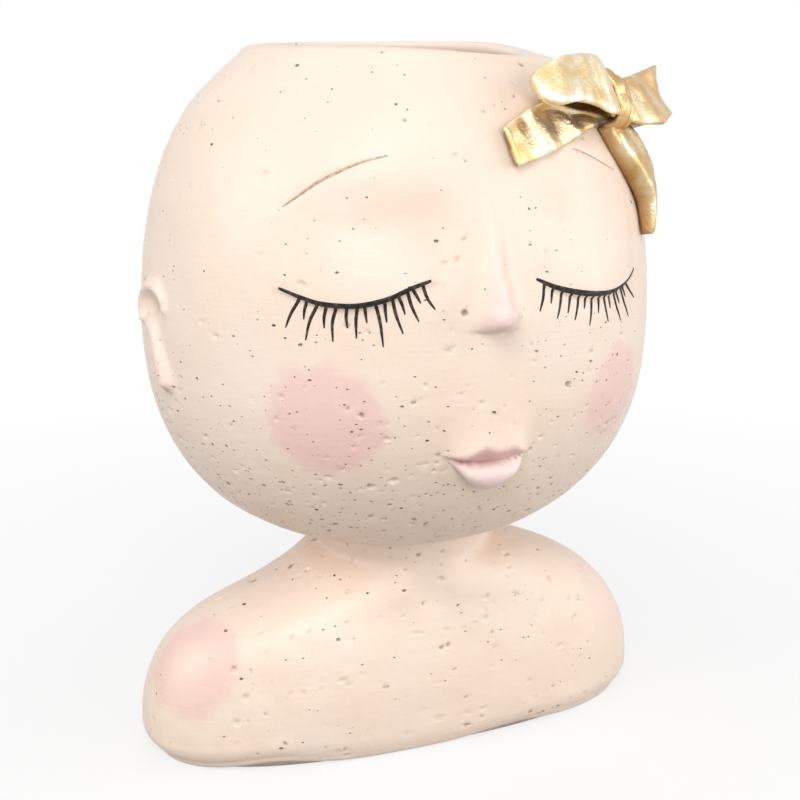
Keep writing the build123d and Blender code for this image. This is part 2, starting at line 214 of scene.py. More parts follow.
def face_relief(azimuth, height):
    """Lift of the cast face off the plain egg, in mm: the sum of each feature's own bump or hollow."""
    across = azimuth * level_radius
    degrees = azimuth / degree
    lift = np.zeros(np.broadcast(azimuth, height).shape)
    # Nose: a ridge that widens and rises to a round tip, cut back sharply underneath, with a wing each side
    climb = np.clip((nose_top - height) / (nose_top - nose_tip), 0, 1)
    under = np.clip(1 - (np.clip(nose_tip - height, 0, None) / 5.0) ** 2.4, 0, 1) ** 0.6
    ridge = np.interp(height, *np.transpose(nose_ridge))
    width = 3.0 + 1.1 * climb ** 3
    lift += 9.0 * climb ** 2.1 * under * np.exp(-np.abs((across - ridge) / width) ** 1.9)
    for wing, size, level in ((-3.2, 1.9, 137.0), (2.8, 1.6, 137.6)):
        lift += size * np.exp(-((across - wing) / 1.8) ** 2 - (np.abs(height - level) / 2.4) ** 2.4)
    # Eye sockets, fuller brow bones, and the closed lids that swell down to the lash line
    for side, line in ((-1, left_lash_line), (1, right_lash_line)):
        corners = np.array(arc_points(line))
        centre = corners[:, 0].mean()
        lid_edge = np.interp(across, corners[:, 0], corners[:, 1])
        lift -= 1.7 * dab(across, height, (side * 17.0, 160.0), (9.0, 10.0))
        lift += 1.0 * dab(across, height, (side * 36.0, 173.0), (24.0, 8.0))
        spread = np.clip(1 - ((across - centre) / 22.0) ** 2, 0, 1)
        above = height - lid_edge
        swell = np.clip(1 - (np.clip(above, 0, None) / 19.0) ** 2, 0, 1) ** 1.5
        fall = smooth_step(above, -1.6, 0.4)
        lift += 2.3 * spread * swell * fall
    # Cheeks are a little fuller beside the mouth
    for side in (-1, 1):
        lift += 0.9 * dab(across, height, (side * 40.0, 112.0), (20.0, 16.0))
    # Mouth: the upper lip overhangs the parting, the lower lip is a full pillow, and the corners are pricked
    upper, parting, lower = mouth_edges(degrees)
    spread = smooth_step(degrees, -13.0, -6.0) * smooth_step(-degrees, -10.4, -6.0)
    above = 3.1 * np.exp(-(np.clip(height - upper, 0, None) / 5.5) ** 1.2)
    roof = smooth_step(height, parting - 0.2, np.maximum(upper, parting + 0.4))
    gap = np.maximum(parting - lower, 0.4)
    pillow = np.clip((parting - height) / gap, 0, 1)
    full = 4.5 * np.clip(1 - ((pillow - 0.42) / 0.58) ** 2, 0, 1) ** 0.6 * smooth_step(gap, 0.4, 5.0)
    lips = np.where(height > parting, 0.5 + (above - 0.5) * roof, 0.5 * (1 - pillow) + full)
    lips *= np.where(height > parting, spread, 0.35 + 0.65 * spread)
    lift += np.where(height < lower, 0, lips) * smooth_step(degrees, -13.0, -12.0) \
        * smooth_step(-degrees, -10.4, -9.6)
    for corner in arc_points([lip_parting[0], lip_parting[-1]]):
        lift -= 0.6 * dab(across, height, corner, (0.6, 0.6))
    # Ears: a curled rim round a hollow, and a stem that runs down and forward to the lobe
    for side in (-1, 1):
        gap, along = path_distance(across, height, arc_points(smooth_path(ear_helix, 30), side))
        lift += 1.9 * np.exp(-(gap / 1.7) ** 2.2) * (0.55 + 0.45 * smooth_step(along, 0.0, 0.3))
        gap, along = path_distance(across, height, arc_points(smooth_path(ear_stem, 24), side))
        lift += (1.7 + 0.7 * along) * np.exp(-(gap / (2.2 + 0.5 * along)) ** 2.6)
        lift -= 2.2 * dab(across, height, arc_points([ear_hollow], side)[0], (3.6, 2.8))
    # Brows are thin lines cut into the clay
    for brow in (left_brow, right_brow):
        gap, along = path_distance(across, height, arc_points(brow))
        lift -= 0.4 * np.exp(-(gap / 0.6) ** 2) * np.sin(np.pi * np.clip(along, 0.04, 0.96)) ** 0.4
    return lift


def random_share(*cells):
    """A steady number from 0 to 1 for each lattice cell, from whole-number mixing of its place."""
    mixed = np.zeros(np.broadcast(*cells).shape, np.uint64)
    for cell, prime in zip(cells, (73856093, 19349663, 83492791, 49979687)):
        mixed = mixed ^ (np.asarray(cell, np.int64).astype(np.uint64) * np.uint64(prime))
    mixed = (mixed ^ (mixed >> np.uint64(13))) * np.uint64(1274126177)
    mixed = (mixed ^ (mixed >> np.uint64(16))) & np.uint64(0xFFFFFF)
    return mixed.astype(float) / 0xFFFFFF


def soft_noise(points, size, seed):
    """Smooth noise from -1 to 1: each cell corner's random value, blended by a cubic across the cell."""
    place = points / size
    cell = np.floor(place).astype(np.int64)
    share = place - cell
    share = share * share * (3 - 2 * share)
    total = np.zeros(points.shape[:-1])
    for corner in np.ndindex(2, 2, 2):
        weight = np.prod(np.where(np.array(corner), share, 1 - share), axis=-1)
        total += weight * random_share(*(cell[..., k] + corner[k] for k in range(3)), seed)
    return 2 * total - 1


def layered_noise(points, *layers):
    """Smooth noise of several scales added up. Each layer gives its strength, cell size and seed."""
    return sum(strength * soft_noise(points, size, seed) for strength, size, seed in layers)


hole_squash = np.array([1.0, 1.0, 1.35])


def air_holes(points, cell_size, chance, least, most, seed):
    """Depth in mm of round pits, a little flattened: each lattice cell may hold one, at a random place in it.
    A pit's radius lies between least and most, and it is as deep as its radius at its middle."""
    cell = np.floor(points / cell_size).astype(np.int64)
    depth = np.zeros(points.shape[:-1])
    for step in np.ndindex(3, 3, 3):
        near = cell + np.array(step) - 1
        parts = [near[..., k] for k in range(3)]
        centre = np.stack([random_share(*parts, seed + 1 + k) for k in range(3)], axis=-1)
        centre = (near + centre) * cell_size
        radius = least + (most - least) * random_share(*parts, seed + 4) ** 2
        present = random_share(*parts, seed) < chance
        gap = np.linalg.norm((points - centre) * hole_squash, axis=-1)
        depth = np.maximum(depth, np.where(present, radius * np.clip(1 - (gap / radius) ** 2, 0, 1), 0))
    return depth


def wavy(points, seed):
    """The same points shifted up to 0.45 mm each way by fine noise, so that holes cut at them look torn."""
    return points + 0.45 * np.stack([soft_noise(points, 1.3, seed + k) for k in range(3)], axis=-1)


def skin_lumps(points):
    """Unevenness of the hand-worked head in mm, from three scales of smooth noise."""
    return layered_noise(points, (0.35, 26.0, 7), (0.12, 7.0, 8), (0.05, 2.4, 9))


def spread_evenly(path, spacing):
    """A path (rows of numbers, the first two in mm) resampled so that its steps match a spacing."""
    path = np.asarray(path, float)
    steps = np.hypot(*np.diff(path[:, :2], axis=0).T)
    wanted = spacing(path[:, 1]) if callable(spacing) else np.full(len(path), float(spacing))
    measure = np.concatenate([[0], np.cumsum(steps / ((wanted[1:] + wanted[:-1]) / 2))])
    count = max(2, int(np.ceil(measure[-1])) + 1)
    at = np.linspace(0, measure[-1], count)
    return np.stack([np.interp(at, measure, column) for column in path.T], axis=-1)


def grid_mesh(name, points, wrap_rows=True):
    """A mesh of quads from a grid of points. Columns always close up, and rows close up when asked."""
    rows, columns = points.shape[:2]
    index = np.arange(rows * columns).reshape(rows, columns)
    right = np.roll(index, -1, axis=1)
    faces = np.stack([index, right, np.roll(right, -1, axis=0), np.roll(index, -1, axis=0)], axis=-1)
    faces = (faces if wrap_rows else faces[:-1]).reshape(-1, 4)
    mesh = bpy.data.meshes.new(name)
    mesh.vertices.add(rows * columns)
    mesh.vertices.foreach_set("co", (points * mm).astype(np.float32).ravel())
    mesh.loops.add(faces.size)
    mesh.loops.foreach_set("vertex_index", faces.astype(np.int32).ravel())
    mesh.polygons.add(len(faces))
    mesh.polygons.foreach_set("loop_start", np.arange(0, faces.size, 4, dtype=np.int32))
    mesh.update(calc_edges=True)
    mesh.shade_smooth()
    return mesh


def add_piece(name, mesh, *materials):
    """An object at the origin for a finished mesh, with its materials."""
    piece = bpy.data.objects.new(name, mesh)
    bpy.context.scene.collection.objects.link(piece)
    for material in materials:
        mesh.materials.append(material)
    return piece


def paint_mesh(mesh, colours, pores=1.0):
    """Keeps each point's colour, paint and any painted shade, as the attribute named paint, its alpha the
    share of pores.
    """
    layer = mesh.attributes.new("paint", "FLOAT_COLOR", "POINT")
    flat = np.concatenate([colours, np.ones((*colours.shape[:-1], 1)) * pores], axis=-1)
    layer.data.foreach_set("color", flat.astype(np.float32).ravel())


def thin_out(piece, most_triangles):
    """Fewer triangles where the surface is plain: collapses edges down to a limit, then keeps the result."""
    triangles = 2 * len(piece.data.polygons)
    if triangles <= most_triangles:
        return
    modifier = piece.modifiers.new("thin_out", "DECIMATE")
    modifier.ratio = most_triangles / triangles
    graph = bpy.context.evaluated_depsgraph_get()
    thinned = bpy.data.meshes.new_from_object(piece.evaluated_get(graph), depsgraph=graph)
    piece.modifiers.clear()
    old = piece.data
    piece.data = thinned
    bpy.data.meshes.remove(old)


def mix_colours(base, over, share):
    """Blends a colour over others by a share for each point."""
    share = np.clip(share, 0, 1)[..., None]
    return base * (1 - share) + np.array(over) * share


side_steps = 900
cavity_steps = 300
rim_edge = 2.4
rim_shoulder = 2.6
mouth_edge = 1.3
mouth_foot = 198.0
cavity_top = 196.0
bore_edge = 1.0


def ring_spacing(height):
    """Distance between the outside's rings in mm: fine at the mouth and widest at the crown."""
    return np.where((height > 88) & (height < 108), 0.34, np.where(height < 180, 0.5, 0.75))


def with_depth(section, share):
    """A section's points with the same depth share added to each."""
    return np.concatenate([section, np.full((len(section), 1), share)], axis=1)


def head_rings():
    """The head's section as a closed chain of (half width, height, depth share), outside first, going up."""
    egg = (head_half_width, head_upper_rise, head_lower_rise)
    rim_half_width = float(egg_half_width(np.array(rim_height), *egg))
    outer = with_depth(egg_side(neck_joint, rim_height - rim_edge, *egg, side_steps), head_depth_share)
    outer = spread_evenly(outer, ring_spacing)
    start = outer[-1, 0]
    turn = np.linspace(0, np.pi / 2, 7)[1:]
    shoulder = with_depth(np.stack([
        start - (start - rim_half_width + rim_shoulder) * (1 - np.cos(turn)),
        rim_height - rim_edge + rim_edge * np.sin(turn)], axis=-1), head_depth_share)
    inner = with_depth(np.stack([
        mouth_half_width + mouth_edge * (1 - np.sin(turn)),
        rim_height - mouth_edge * (1 - np.cos(turn))], axis=-1), mouth_depth_share)
    cavity = egg_side(cavity_floor, cavity_top, *(size - wall for size in egg), cavity_steps)
    inside = np.concatenate([
        [[mouth_half_width, mouth_foot, mouth_depth_share]], with_depth(cavity, head_depth_share)[::-1],
        [[bore_radius + bore_edge, cavity_floor, 1.0], [bore_radius, cavity_floor - bore_edge, 1.0],
         [bore_radius, socket_top, 1.0], [socket_radius, socket_top, 1.0], [socket_radius, neck_joint, 1.0]]])
    inside = spread_evenly(inside, 2.0)
    land = spread_evenly(np.stack([shoulder[-1], inner[0]]), 1.0)[1:-1]
    seat = spread_evenly(np.stack([inside[-1], outer[0]]), 2.0)[1:-1]
    return np.concatenate([outer, shoulder, land, inner, inside, seat]), len(outer)


# Columns crowd towards the face, where the relief is finest
head_columns = 700
front_crowding = 0.42
rings, outer_count = head_rings()
even_turn = np.linspace(0, 2 * np.pi, head_columns, endpoint=False)
head_turn = even_turn - front_crowding * np.sin(even_turn)
head_points = np.stack([
    rings[:, 0, None] * np.sin(head_turn),
    head_axis - rings[:, 0, None] * rings[:, 2, None] * np.cos(head_turn),
    rings[:, 1, None] + 0 * head_turn], axis=-1)
side = head_points[:outer_count]
azimuth = np.arctan2(side[..., 0], head_axis - side[..., 1])
height = side[..., 2]
normal = egg_surface(azimuth, height)[1]
fade = smooth_step(rim_height - height, 0.0, 3.0) * smooth_step(height - neck_joint, 0.0, 3.0)
relief = face_relief(azimuth, height)

# Air holes: more of them lower on the head, small ones close together in the crease above the neck, and
# shallower ones where the face stands out
hole_depth = 0.75
jaw = smooth_step(135.0 - height, 0.0, 50.0)
patches = jaw + 0.55 * soft_noise(side, 13.0, 5)
torn = wavy(side, 91)
large = air_holes(torn, cell_size=4.3, chance=0.60, least=0.50, most=1.30, seed=3) * (patches > 0.0)
small = air_holes(torn, cell_size=3.2, chance=0.70, least=0.40, most=0.95, seed=40) * (patches > 0.50)
creases = air_holes(torn, cell_size=2.6, chance=0.60, least=0.40, most=0.65, seed=140) \
    * smooth_step(94.0 - height, 0.0, 6.0)
holes = np.maximum(np.maximum(large, small), creases)
quiet = 1 - np.exp(-(relief / 3.0) ** 2)
holes *= 1 - 0.8 * quiet
side += normal * ((relief + skin_lumps(side) - hole_depth * holes) * fade)[..., None]

# The rim dips at its front right and is pinched in at its left. Past nose_front the nose is pressed back
# softly, so that it goes on by less than nose_give.
rim_dip = 2.8
rim_pinch = 0.035
nose_give = 1.1
droop = smooth_step(head_points[..., 0], -22.0, 30.0) \
    * smooth_step(head_axis - head_points[..., 1], -20.0, 10.0)
head_points[..., 2] -= rim_dip * droop * smooth_step(head_points[..., 2], 186.0, rim_height)
slim = rim_pinch * smooth_step(head_points[..., 2], 183.0, 198.0) \
    * smooth_step(-head_points[..., 0], 10.0, 34.0)
head_points[..., 0] *= 1 - slim
past_front = np.clip(nose_front - head_points[..., 1], 0, None)
head_points[..., 1] += past_front - nose_give * np.tanh(past_front / nose_give)


def gap_to(across, height, middle):
    """Distance from a point given as mm across and mm up."""
    return np.hypot(across - middle[0], height - middle[1])


def dirty_and_shaded_holes(skin, points, holes, seed):
    """Dirt and painted shade in the air holes: darker where a hole is deep, and in some patches more than in
    others.
    """
    dirt_and_shade = 0.1 + 0.55 * smooth_step(soft_noise(points, 3.0, seed), 0.15, 0.5)
    return mix_colours(skin, pit_dirt_and_shade, dirt_and_shade * smooth_step(holes, 0.18, 0.5))


across = azimuth * level_radius
degrees = azimuth / degree
colours = np.ones(head_points.shape) * np.array(paint_peach)
pore_share = np.ones((*head_points.shape[:-1], 1))
skin = colours[:outer_count]

# Blush on the cheeks with a ragged, worn edge, and a warm cast on the brow at the left
rough = layered_noise(side, (1.8, 5.0, 21), (1.0, 1.8, 22))
worn = 1 - 0.3 * smooth_step(soft_noise(side, 5.0, 23), 0.0, 0.7)
for cheek, size, strength in (((-37.0, 111.2), 16.4, 0.46), ((36.5, 111.0), 14.6, 0.38)):
    gap = gap_to(across, height, arc_points([cheek])[0])
    blush = strength * worn * (1 - smooth_step(gap + rough, size - 3.5, size + 0.5))
    skin = mix_colours(skin, paint_rose, blush)
warmth = dab(across, height, (-24.0, 163.5), (15.0, 7.5))[..., None]
skin = skin * (1 - warmth * np.array(paint_warmth))

# Lips: mauve above, the lip paint darkened by painted shade under the overhang, and pale below, with painted
# shade in the slit between them and at its corners
upper, parting, lower = mouth_edges(degrees)
in_mouth = (degrees > -12.6) & (degrees < 10.0)
upper_lip = in_mouth * smooth_step(height - parting, -0.2, 0.2) * smooth_step(upper - height, -0.1, 0.3)
lower_lip = in_mouth * smooth_step(parting - height, -0.2, 0.2) * smooth_step(height - lower, -0.1, 0.5)
slit_shade = np.exp(-((height - parting + 0.3) / 0.6) ** 2) * smooth_step(degrees, -11.0, -7.0) \
    * smooth_step(-degrees, -5.0, 0.5)
lip_middle = dab(degrees, height, (-0.5, 94.5), (4.0, 2.0))
skin = mix_colours(skin, lip_mauve_and_shade, 0.6 * upper_lip)
skin = mix_colours(skin, paint_lip_pale, (0.6 + 0.25 * lip_middle) * lower_lip)
skin = mix_colours(skin, paint_rose, 0.2 * lip_middle * lower_lip)
skin = mix_colours(skin, parting_shade, 0.9 * slit_shade)
for corner in arc_points([lip_parting[0], lip_parting[-1]]):
    skin = mix_colours(skin, parting_shade, 0.55 * np.exp(-(gap_to(across, height, corner) / 0.6) ** 2))

# Nose and ears are tinted, and each ear has painted shade in its hollow and a painted shadow under the end of
# its lobe
nose_tint = dab(across, height, (-0.8, 138.5), (4.5, 4.5))
nose_tint += 0.5 * dab(across, height, (-1.6, 147.0), (2.4, 6.0))
skin = mix_colours(skin, paint_nose, 0.75 * nose_tint)
for ear in (-1, 1):
    gap, along = path_distance(across, height, arc_points(ear_stem, ear))
    skin = mix_colours(skin, paint_nose, 0.5 * np.exp(-(gap / 2.6) ** 2))
    # Painted shade in the hollow, and a painted shadow under the end of the lobe
    for corner, reach in zip(arc_points([ear_hollow, ear_lobe_shadow], ear), (2.2, 1.2)):
        skin = mix_colours(skin, shade_and_chip_brown, 0.5 * np.exp(-(gap_to(across, height, corner) / reach) ** 2))
# Dirt and painted shade in the air holes, strongest in the small ones in the crease above the neck
skin = dirty_and_shaded_holes(skin, side, holes, 24)
skin = mix_colours(skin, pit_dirt_and_shade, 0.9 * smooth_step(creases, 0.06, 0.25))
colours[:outer_count] = skin
smooth_skin = np.clip(np.maximum(upper_lip, lower_lip) + 0.7 * nose_tint, 0, 1)
pore_share[:outer_count, :, 0] = (1 - smooth_skin) * (1 + 0.8 * smooth_step(102.0 - height, 0.0, 10.0))


class ShaderNodes:
    """The shader nodes of a material or of the world. Most methods add one node and give its output."""

    def __init__(self, owner):
        """Turns the owner's nodes on and keeps hold of them."""
        owner.use_nodes = True
        self.owner = owner
        self.nodes = owner.node_tree.nodes
        self.links = owner.node_tree.links

    def fill(self, node, inputs):
        """Sets a node's inputs or joins them to other outputs, each by its name or by its number, as in_0."""
        for key, value in inputs.items():
            name = key.replace("_", " ")
            socket = node.inputs[int(name[3:]) if name.startswith("in ") else name]
            if isinstance(value, bpy.types.NodeSocket):
                self.links.new(value, socket)
            else:
                socket.default_value = value

    def add(self, kind, settings=(), **inputs):
        """A new node with its settings made and its inputs filled."""
        node = self.nodes.new("ShaderNode" + kind)
        for key, value in dict(settings).items():
            setattr(node, key, value)
        self.fill(node, inputs)
        return node

    def place(self):
        """The shaded point in the object's own frame, in metres."""
        return self.add("TexCoord").outputs["Object"]

    def stretched(self, place, rotation, scale):
        """Places turned and scaled, so that a pattern laid at them runs one way."""
        return self.add("Mapping", Vector=place, Rotation=rotation, Scale=scale).outputs[0]

    def noise(self, place, scale, detail=2.0):
        """Cloudy noise from 0 to 1."""
        return self.add("TexNoise", Vector=place, Scale=scale, Detail=detail).outputs[0]

    def span(self, value, low, high, to_low=0.0, to_high=1.0):
        """A value's range from low to high stretched onto another range, and held at both its ends."""
        ranges = {"From_Min": low, "From_Max": high, "To_Min": to_low, "To_Max": to_high}
        return self.add("MapRange", Value=value, **ranges).outputs[0]

    def combine(self, operation, first, second):
        """Two numbers combined by an operation."""
        return self.add("Math", {"operation": operation}, in_0=first, in_1=second).outputs[0]

    def blend(self, share, base, over, way="MIX"):
        """One colour laid over another by a share."""
        settings = {"data_type": "RGBA", "blend_type": way}
        return self.add("Mix", settings, in_0=share, in_6=base, in_7=over).outputs[2]

    def bump(self, height, strength, distance, over=None, sunken=False):
        """A bumpy surface from heights, raised or sunken, over another bumpy surface when one is given."""
        below = {} if over is None else {"Normal": over}
        look = {"Strength": strength, "Distance": distance, "Height": height}
        return self.add("Bump", {"invert": sunken}, **look, **below).outputs[0]

    def set_shader(self, **inputs):
        """Fills inputs of the material's own shader and gives the material."""
        self.fill(self.nodes["Principled BSDF"], inputs)
        return self.owner

    def mix_shaders(self, share, first, second, end):
        """Two shaders mixed by a share and joined to the node at the end."""
        both = self.add("MixShader", in_0=share, in_1=first, in_2=second)
        self.links.new(both.outputs[0], self.nodes[end].inputs["Surface"])


def painted_resin(name, dense_below, sparse_above):
    """Satin brushed paint: the paint attribute, clouded a little, with pores, brush marks and fine grain.
    Each Voronoi cell may hold a pore, drawn by its random colour. The chance of it falls from the first
    height to the second, both in metres, and is multiplied by the paint's alpha."""
    coat = ShaderNodes(bpy.data.materials.new(name))
    place = coat.place()
    painted = coat.add("Attribute", {"attribute_name": "paint"})
    paint = painted.outputs["Color"]
    warm = coat.blend(0.5, paint, (1.0, 0.93, 0.86, 1.0), "MULTIPLY")
    clouded = coat.blend(coat.span(coat.noise(place, 38.0, 4.0), 0.35, 0.7), paint, warm)
    level = coat.add("SeparateXYZ", Vector=place).outputs[2]
    patchy = coat.span(coat.noise(place, 45.0), 0.35, 0.65, -0.22, 0.22)
    likely = coat.combine("ADD", patchy, coat.span(level, dense_below, sparse_above, 0.90, 0.20))
    chance = coat.combine("MULTIPLY", likely, painted.outputs["Alpha"])
    wobble = coat.add("TexNoise", Vector=place, Scale=700.0, Detail=2.0).outputs[1]
    bent = coat.add("Mix", {"data_type": "VECTOR"}, in_0=0.0006, in_4=place, in_5=wobble).outputs[1]
    # Each drawn pore is darkened most at its middle, by dirt and by painted shade
    pore_shade_and_dirt, pits = 0.0, 0.0
    for cell_scale, radius, turn in ((190.0, 0.13, 0.0), (380.0, 0.15, 1.1)):
        squeezed = coat.stretched(bent, (turn, 0.4, turn), (1.0, 1.0, 1.7))
        cells = coat.add("TexVoronoi", Vector=squeezed, Scale=cell_scale)
        lottery = coat.add("SeparateColor", Color=cells.outputs["Color"])
        drawn = coat.combine("LESS_THAN", lottery.outputs[0], chance)
        size = coat.span(lottery.outputs[1], 0.0, 1.0, radius * 0.4, radius)
        bowl = coat.span(coat.combine("DIVIDE", cells.outputs["Distance"], size), 1.0, 0.1)
        pit = coat.combine("MULTIPLY", bowl, drawn)
        pore_darkening = coat.span(lottery.outputs[2], 0.62, 0.95, 0.10, 1.7)
        pore_shade_and_dirt = coat.combine("MAXIMUM", pore_shade_and_dirt, coat.combine("MULTIPLY", pit, pore_darkening))
        pits = coat.combine("MAXIMUM", pits, pit)
    shaded_and_stained = coat.blend(pore_shade_and_dirt, clouded, (0.20, 0.12, 0.08, 1.0))
    strokes = coat.noise(coat.stretched(place, (0.5, 0.2, 0.7), (1.0, 1.0, 9.0)), 130.0, 3.0)
    brushed = coat.bump(strokes, 0.08, 0.0009)
    grainy = coat.bump(coat.noise(place, 620.0, 5.0), 0.22, 0.0004, brushed)
    pitted = coat.bump(pits, 1.0, 0.0028, grainy, sunken=True)
    gloss = coat.span(strokes, 0.3, 0.7, 0.34, 0.48)
    return coat.set_shader(Base_Color=shaded_and_stained, Normal=pitted, Roughness=gloss, Specular_IOR_Level=0.42)


head_triangles = 192000
skin_paint = painted_resin("satin_peach_paint", 0.085, 0.150)
head_mesh = grid_mesh("cast_head", head_points)
paint_mesh(head_mesh, colours, pore_share)
cast_head = add_piece("cast_head", head_mesh, skin_paint)
thin_out(cast_head, head_triangles)
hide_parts("head_shell")
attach(cast_head, "planter")

# Bust: neck and shoulders in one solid casting that the head stands on, flat underneath, with a recess and a
# channel for the drain plug. It is painted like the head, with a dab of blush on each shoulder.
bust_low, bust_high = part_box("bust")
bust_back = (bust_low.y + bust_high.y) / 2 / mm
head_forward = bust_back - head_axis
shoulder_half_width = 78.4
shoulder_half_depth = 29.5
shoulder_widest = 8.0
shoulder_top = 58.0
shoulder_roundness = 2.3
shoulder_base_rise = shoulder_widest / 0.527
neck_half_width = 27.0
neck_half_depth = 25.5
blend_power = 6
plan_roundness = 2.5
recess_radius = 11.0
recess_depth = 6.0
slope_cut_share = 0.27
slope_height = 50.0
slope_spread = 8.6
spigot_radius = 16.0
spigot_height = 7.0
base_edge = 2.2
neck_steps = 700


def power_mean(first, second):
    """The larger of two widths, with a soft join between them: the root of the sum of their powers."""
    return (first ** blend_power + second ** blend_power) ** (1 / blend_power)


def bust_levels(height):
    """Half width, half depth, roundness and centre at a height: shoulders and neck joined by a power mean."""
    rise = np.where(height > shoulder_widest, shoulder_top - shoulder_widest, shoulder_base_rise)
    climb = np.abs(height - shoulder_widest) / rise
    shoulder = np.clip(1 - climb ** shoulder_roundness, 0, 1) ** (1 / shoulder_roundness)
    half_width = power_mean(shoulder_half_width * shoulder, neck_half_width)
    half_depth = power_mean(shoulder_half_depth * shoulder, neck_half_depth)
    share = height / neck_joint
    roundness = plan_roundness + (2 - plan_roundness) * share ** 2
    return half_width, half_depth, roundness, bust_back - head_forward * share


def bust_rings():
    """The bust's section as a closed chain: half width, height, half depth, roundness, centre, on side."""
    height = np.linspace(base_edge, neck_joint, neck_steps)
    half_width, half_depth, roundness, centre = bust_levels(height)
    outer = np.stack([half_width, height, half_depth, roundness, centre, np.ones(neck_steps)], axis=-1)
    outer = spread_evenly(outer, 0.7)
    turn = np.linspace(0, np.pi / 2, 6)[:-1]
    foot = np.stack([outer[0, 0] - base_edge * (1 - np.sin(turn)), base_edge * (1 - np.cos(turn)),
                     outer[0, 2] - base_edge * (1 - np.sin(turn)), np.full(5, plan_roundness),
                     np.full(5, bust_back), np.ones(5)], axis=-1)
    corners = [(spigot_radius, neck_joint), (spigot_radius, neck_joint + spigot_height),
               (bore_radius, neck_joint + spigot_height), (bore_radius, recess_depth),
               (recess_radius, recess_depth), (recess_radius, 0.0)]
    round_part = np.array([(radius, level, radius, 2.0, head_axis, 0.0) for radius, level in corners])
    chain = np.concatenate([outer[-1:], round_part, foot[:1]])
    return np.concatenate([foot, outer, spread_evenly(chain, 2.0)[1:-1]]), len(foot) + len(outer)


def signed_power(wave, power):
    """A sine or cosine raised to a power with its sign kept, which squares a circle off a little."""
    return np.sign(wave) * np.abs(wave) ** power


bust_columns = 620
rings, outer_count = bust_rings()
turn = np.linspace(0, 2 * np.pi, bust_columns, endpoint=False)
power = (2 / rings[:, 3])[:, None]
slope_cut = slope_cut_share * np.exp(-((rings[:, 1, None] - slope_height) / slope_spread) ** 2)
left_share = 1 - rings[:, 5, None] * slope_cut
bust_points = np.stack([
    rings[:, 0, None] * signed_power(np.sin(turn), power) * np.where(np.sin(turn) < 0, left_share, 1),
    rings[:, 4, None] - rings[:, 2, None] * signed_power(np.cos(turn), power),
    rings[:, 1, None] + 0 * turn], axis=-1)


def grid_normals(points):
    """Outward normals of a grid, from the cross product of its two directions of travel."""
    along = np.roll(points, -1, axis=1) - np.roll(points, 1, axis=1)
    up = np.gradient(points, axis=0)
    normal = np.cross(along, up)
    return normal / np.maximum(np.linalg.norm(normal, axis=-1, keepdims=True), 1e-9)


# Relief on the bust's front: the collar bones, the hollows above them, a swell at the right, and the notch
# of the throat
side = bust_points[:outer_count]
normal = grid_normals(side)
x, y, z = side[..., 0], side[..., 1], side[..., 2]
front = smooth_step(bust_back - y, 2.0, 14.0)
chest = np.zeros(x.shape)
for sign in (-1, 1):
    gap, along = path_distance(x, z, [(sign * 9, 50), (sign * 30, 46), (sign * 52, 40)])
    chest += 1.0 * np.exp(-(gap / 5.0) ** 2) * (1 - along)
    chest -= 0.9 * dab(x, z, (sign * 20, 56), (10.0, 5.0))
chest += 0.8 * dab(x, z, (14, 42), (9.0, 14.0))
chest -= 0.8 * dab(x, z, (0, 46), (5.0, 10.0))

# Air holes, lumps, chips at the foot, and two shallow arches in the front's lower edge
chip_depth = 0.8
patches = 0.35 + 0.55 * soft_noise(side, 13.0, 65) + 0.6 * smooth_step(z, 46.0, 58.0)
torn = wavy(side, 95)
large = air_holes(torn, cell_size=3.9, chance=0.60, least=0.6, most=1.3, seed=60) * (patches > 0.1)
small = air_holes(torn, cell_size=3.2, chance=0.7, least=0.4, most=0.9, seed=80) * (patches > 0.6)
holes = np.maximum(large, small)
arch = np.zeros(x.shape)
for place, size, rise in ((-46.0, 13.0, 2.0), (27.0, 15.0, 1.6)):
    arch += rise * np.exp(-((x - place) / size) ** 2) * front
lumps = layered_noise(side, (0.55, 24.0, 67), (0.2, 6.5, 68), (0.07, 2.2, 69))
chips = air_holes(side, cell_size=9.0, chance=0.5, least=0.6, most=1.7, seed=90) \
    * smooth_step(7.0 - z, 0.0, 5.0)
fade = smooth_step(z, 0.0, 3.0) * smooth_step(neck_joint - z, 0.0, 2.0)
side += normal * ((chest * front + lumps - hole_depth * holes - chip_depth * chips) * fade)[..., None]
side[..., 2] = np.clip(side[..., 2], 0, neck_joint)
side[..., 2] += arch * (1 - smooth_step(z, 0.0, 14.0))

# Blush on both shoulders, with a ragged edge and a bare middle, fainter at the right
bust_triangles = 150000
colours = np.ones(bust_points.shape) * np.array(paint_peach)
skin = colours[:outer_count]
rough = layered_noise(side, (1.8, 6.0, 71), (0.8, 2.0, 72))
for sign, level, strength in ((-1, 33.5, 0.38), (1, 36.0, 0.12)):
    gap = np.hypot((z - level) / 1.1, np.hypot(x - sign * 70.0, y - bust_back + 15.0) * 0.9)
    bare = 1 - 0.8 * np.exp(-(gap / 6.0) ** 2)
    skin = mix_colours(skin, paint_rose, strength * bare * (1 - smooth_step(gap + rough, 12.5, 17.0)))
# Dirt and painted shade in the bust's air holes
skin = dirty_and_shaded_holes(skin, side, holes, 74)
skin = mix_colours(skin, shade_and_chip_brown, 0.35 * smooth_step(chips, 0.3, 1.0))
colours[:outer_count] = skin
bust_mesh = grid_mesh("cast_bust", bust_points)
paint_mesh(bust_mesh, colours, 0.22 + 0.78 * smooth_step(bust_points[..., 2:], 62.0, 80.0))
cast_bust = add_piece("cast_bust", bust_mesh, skin_paint)
thin_out(cast_bust, bust_triangles)
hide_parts("bust")
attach(cast_bust, "planter")

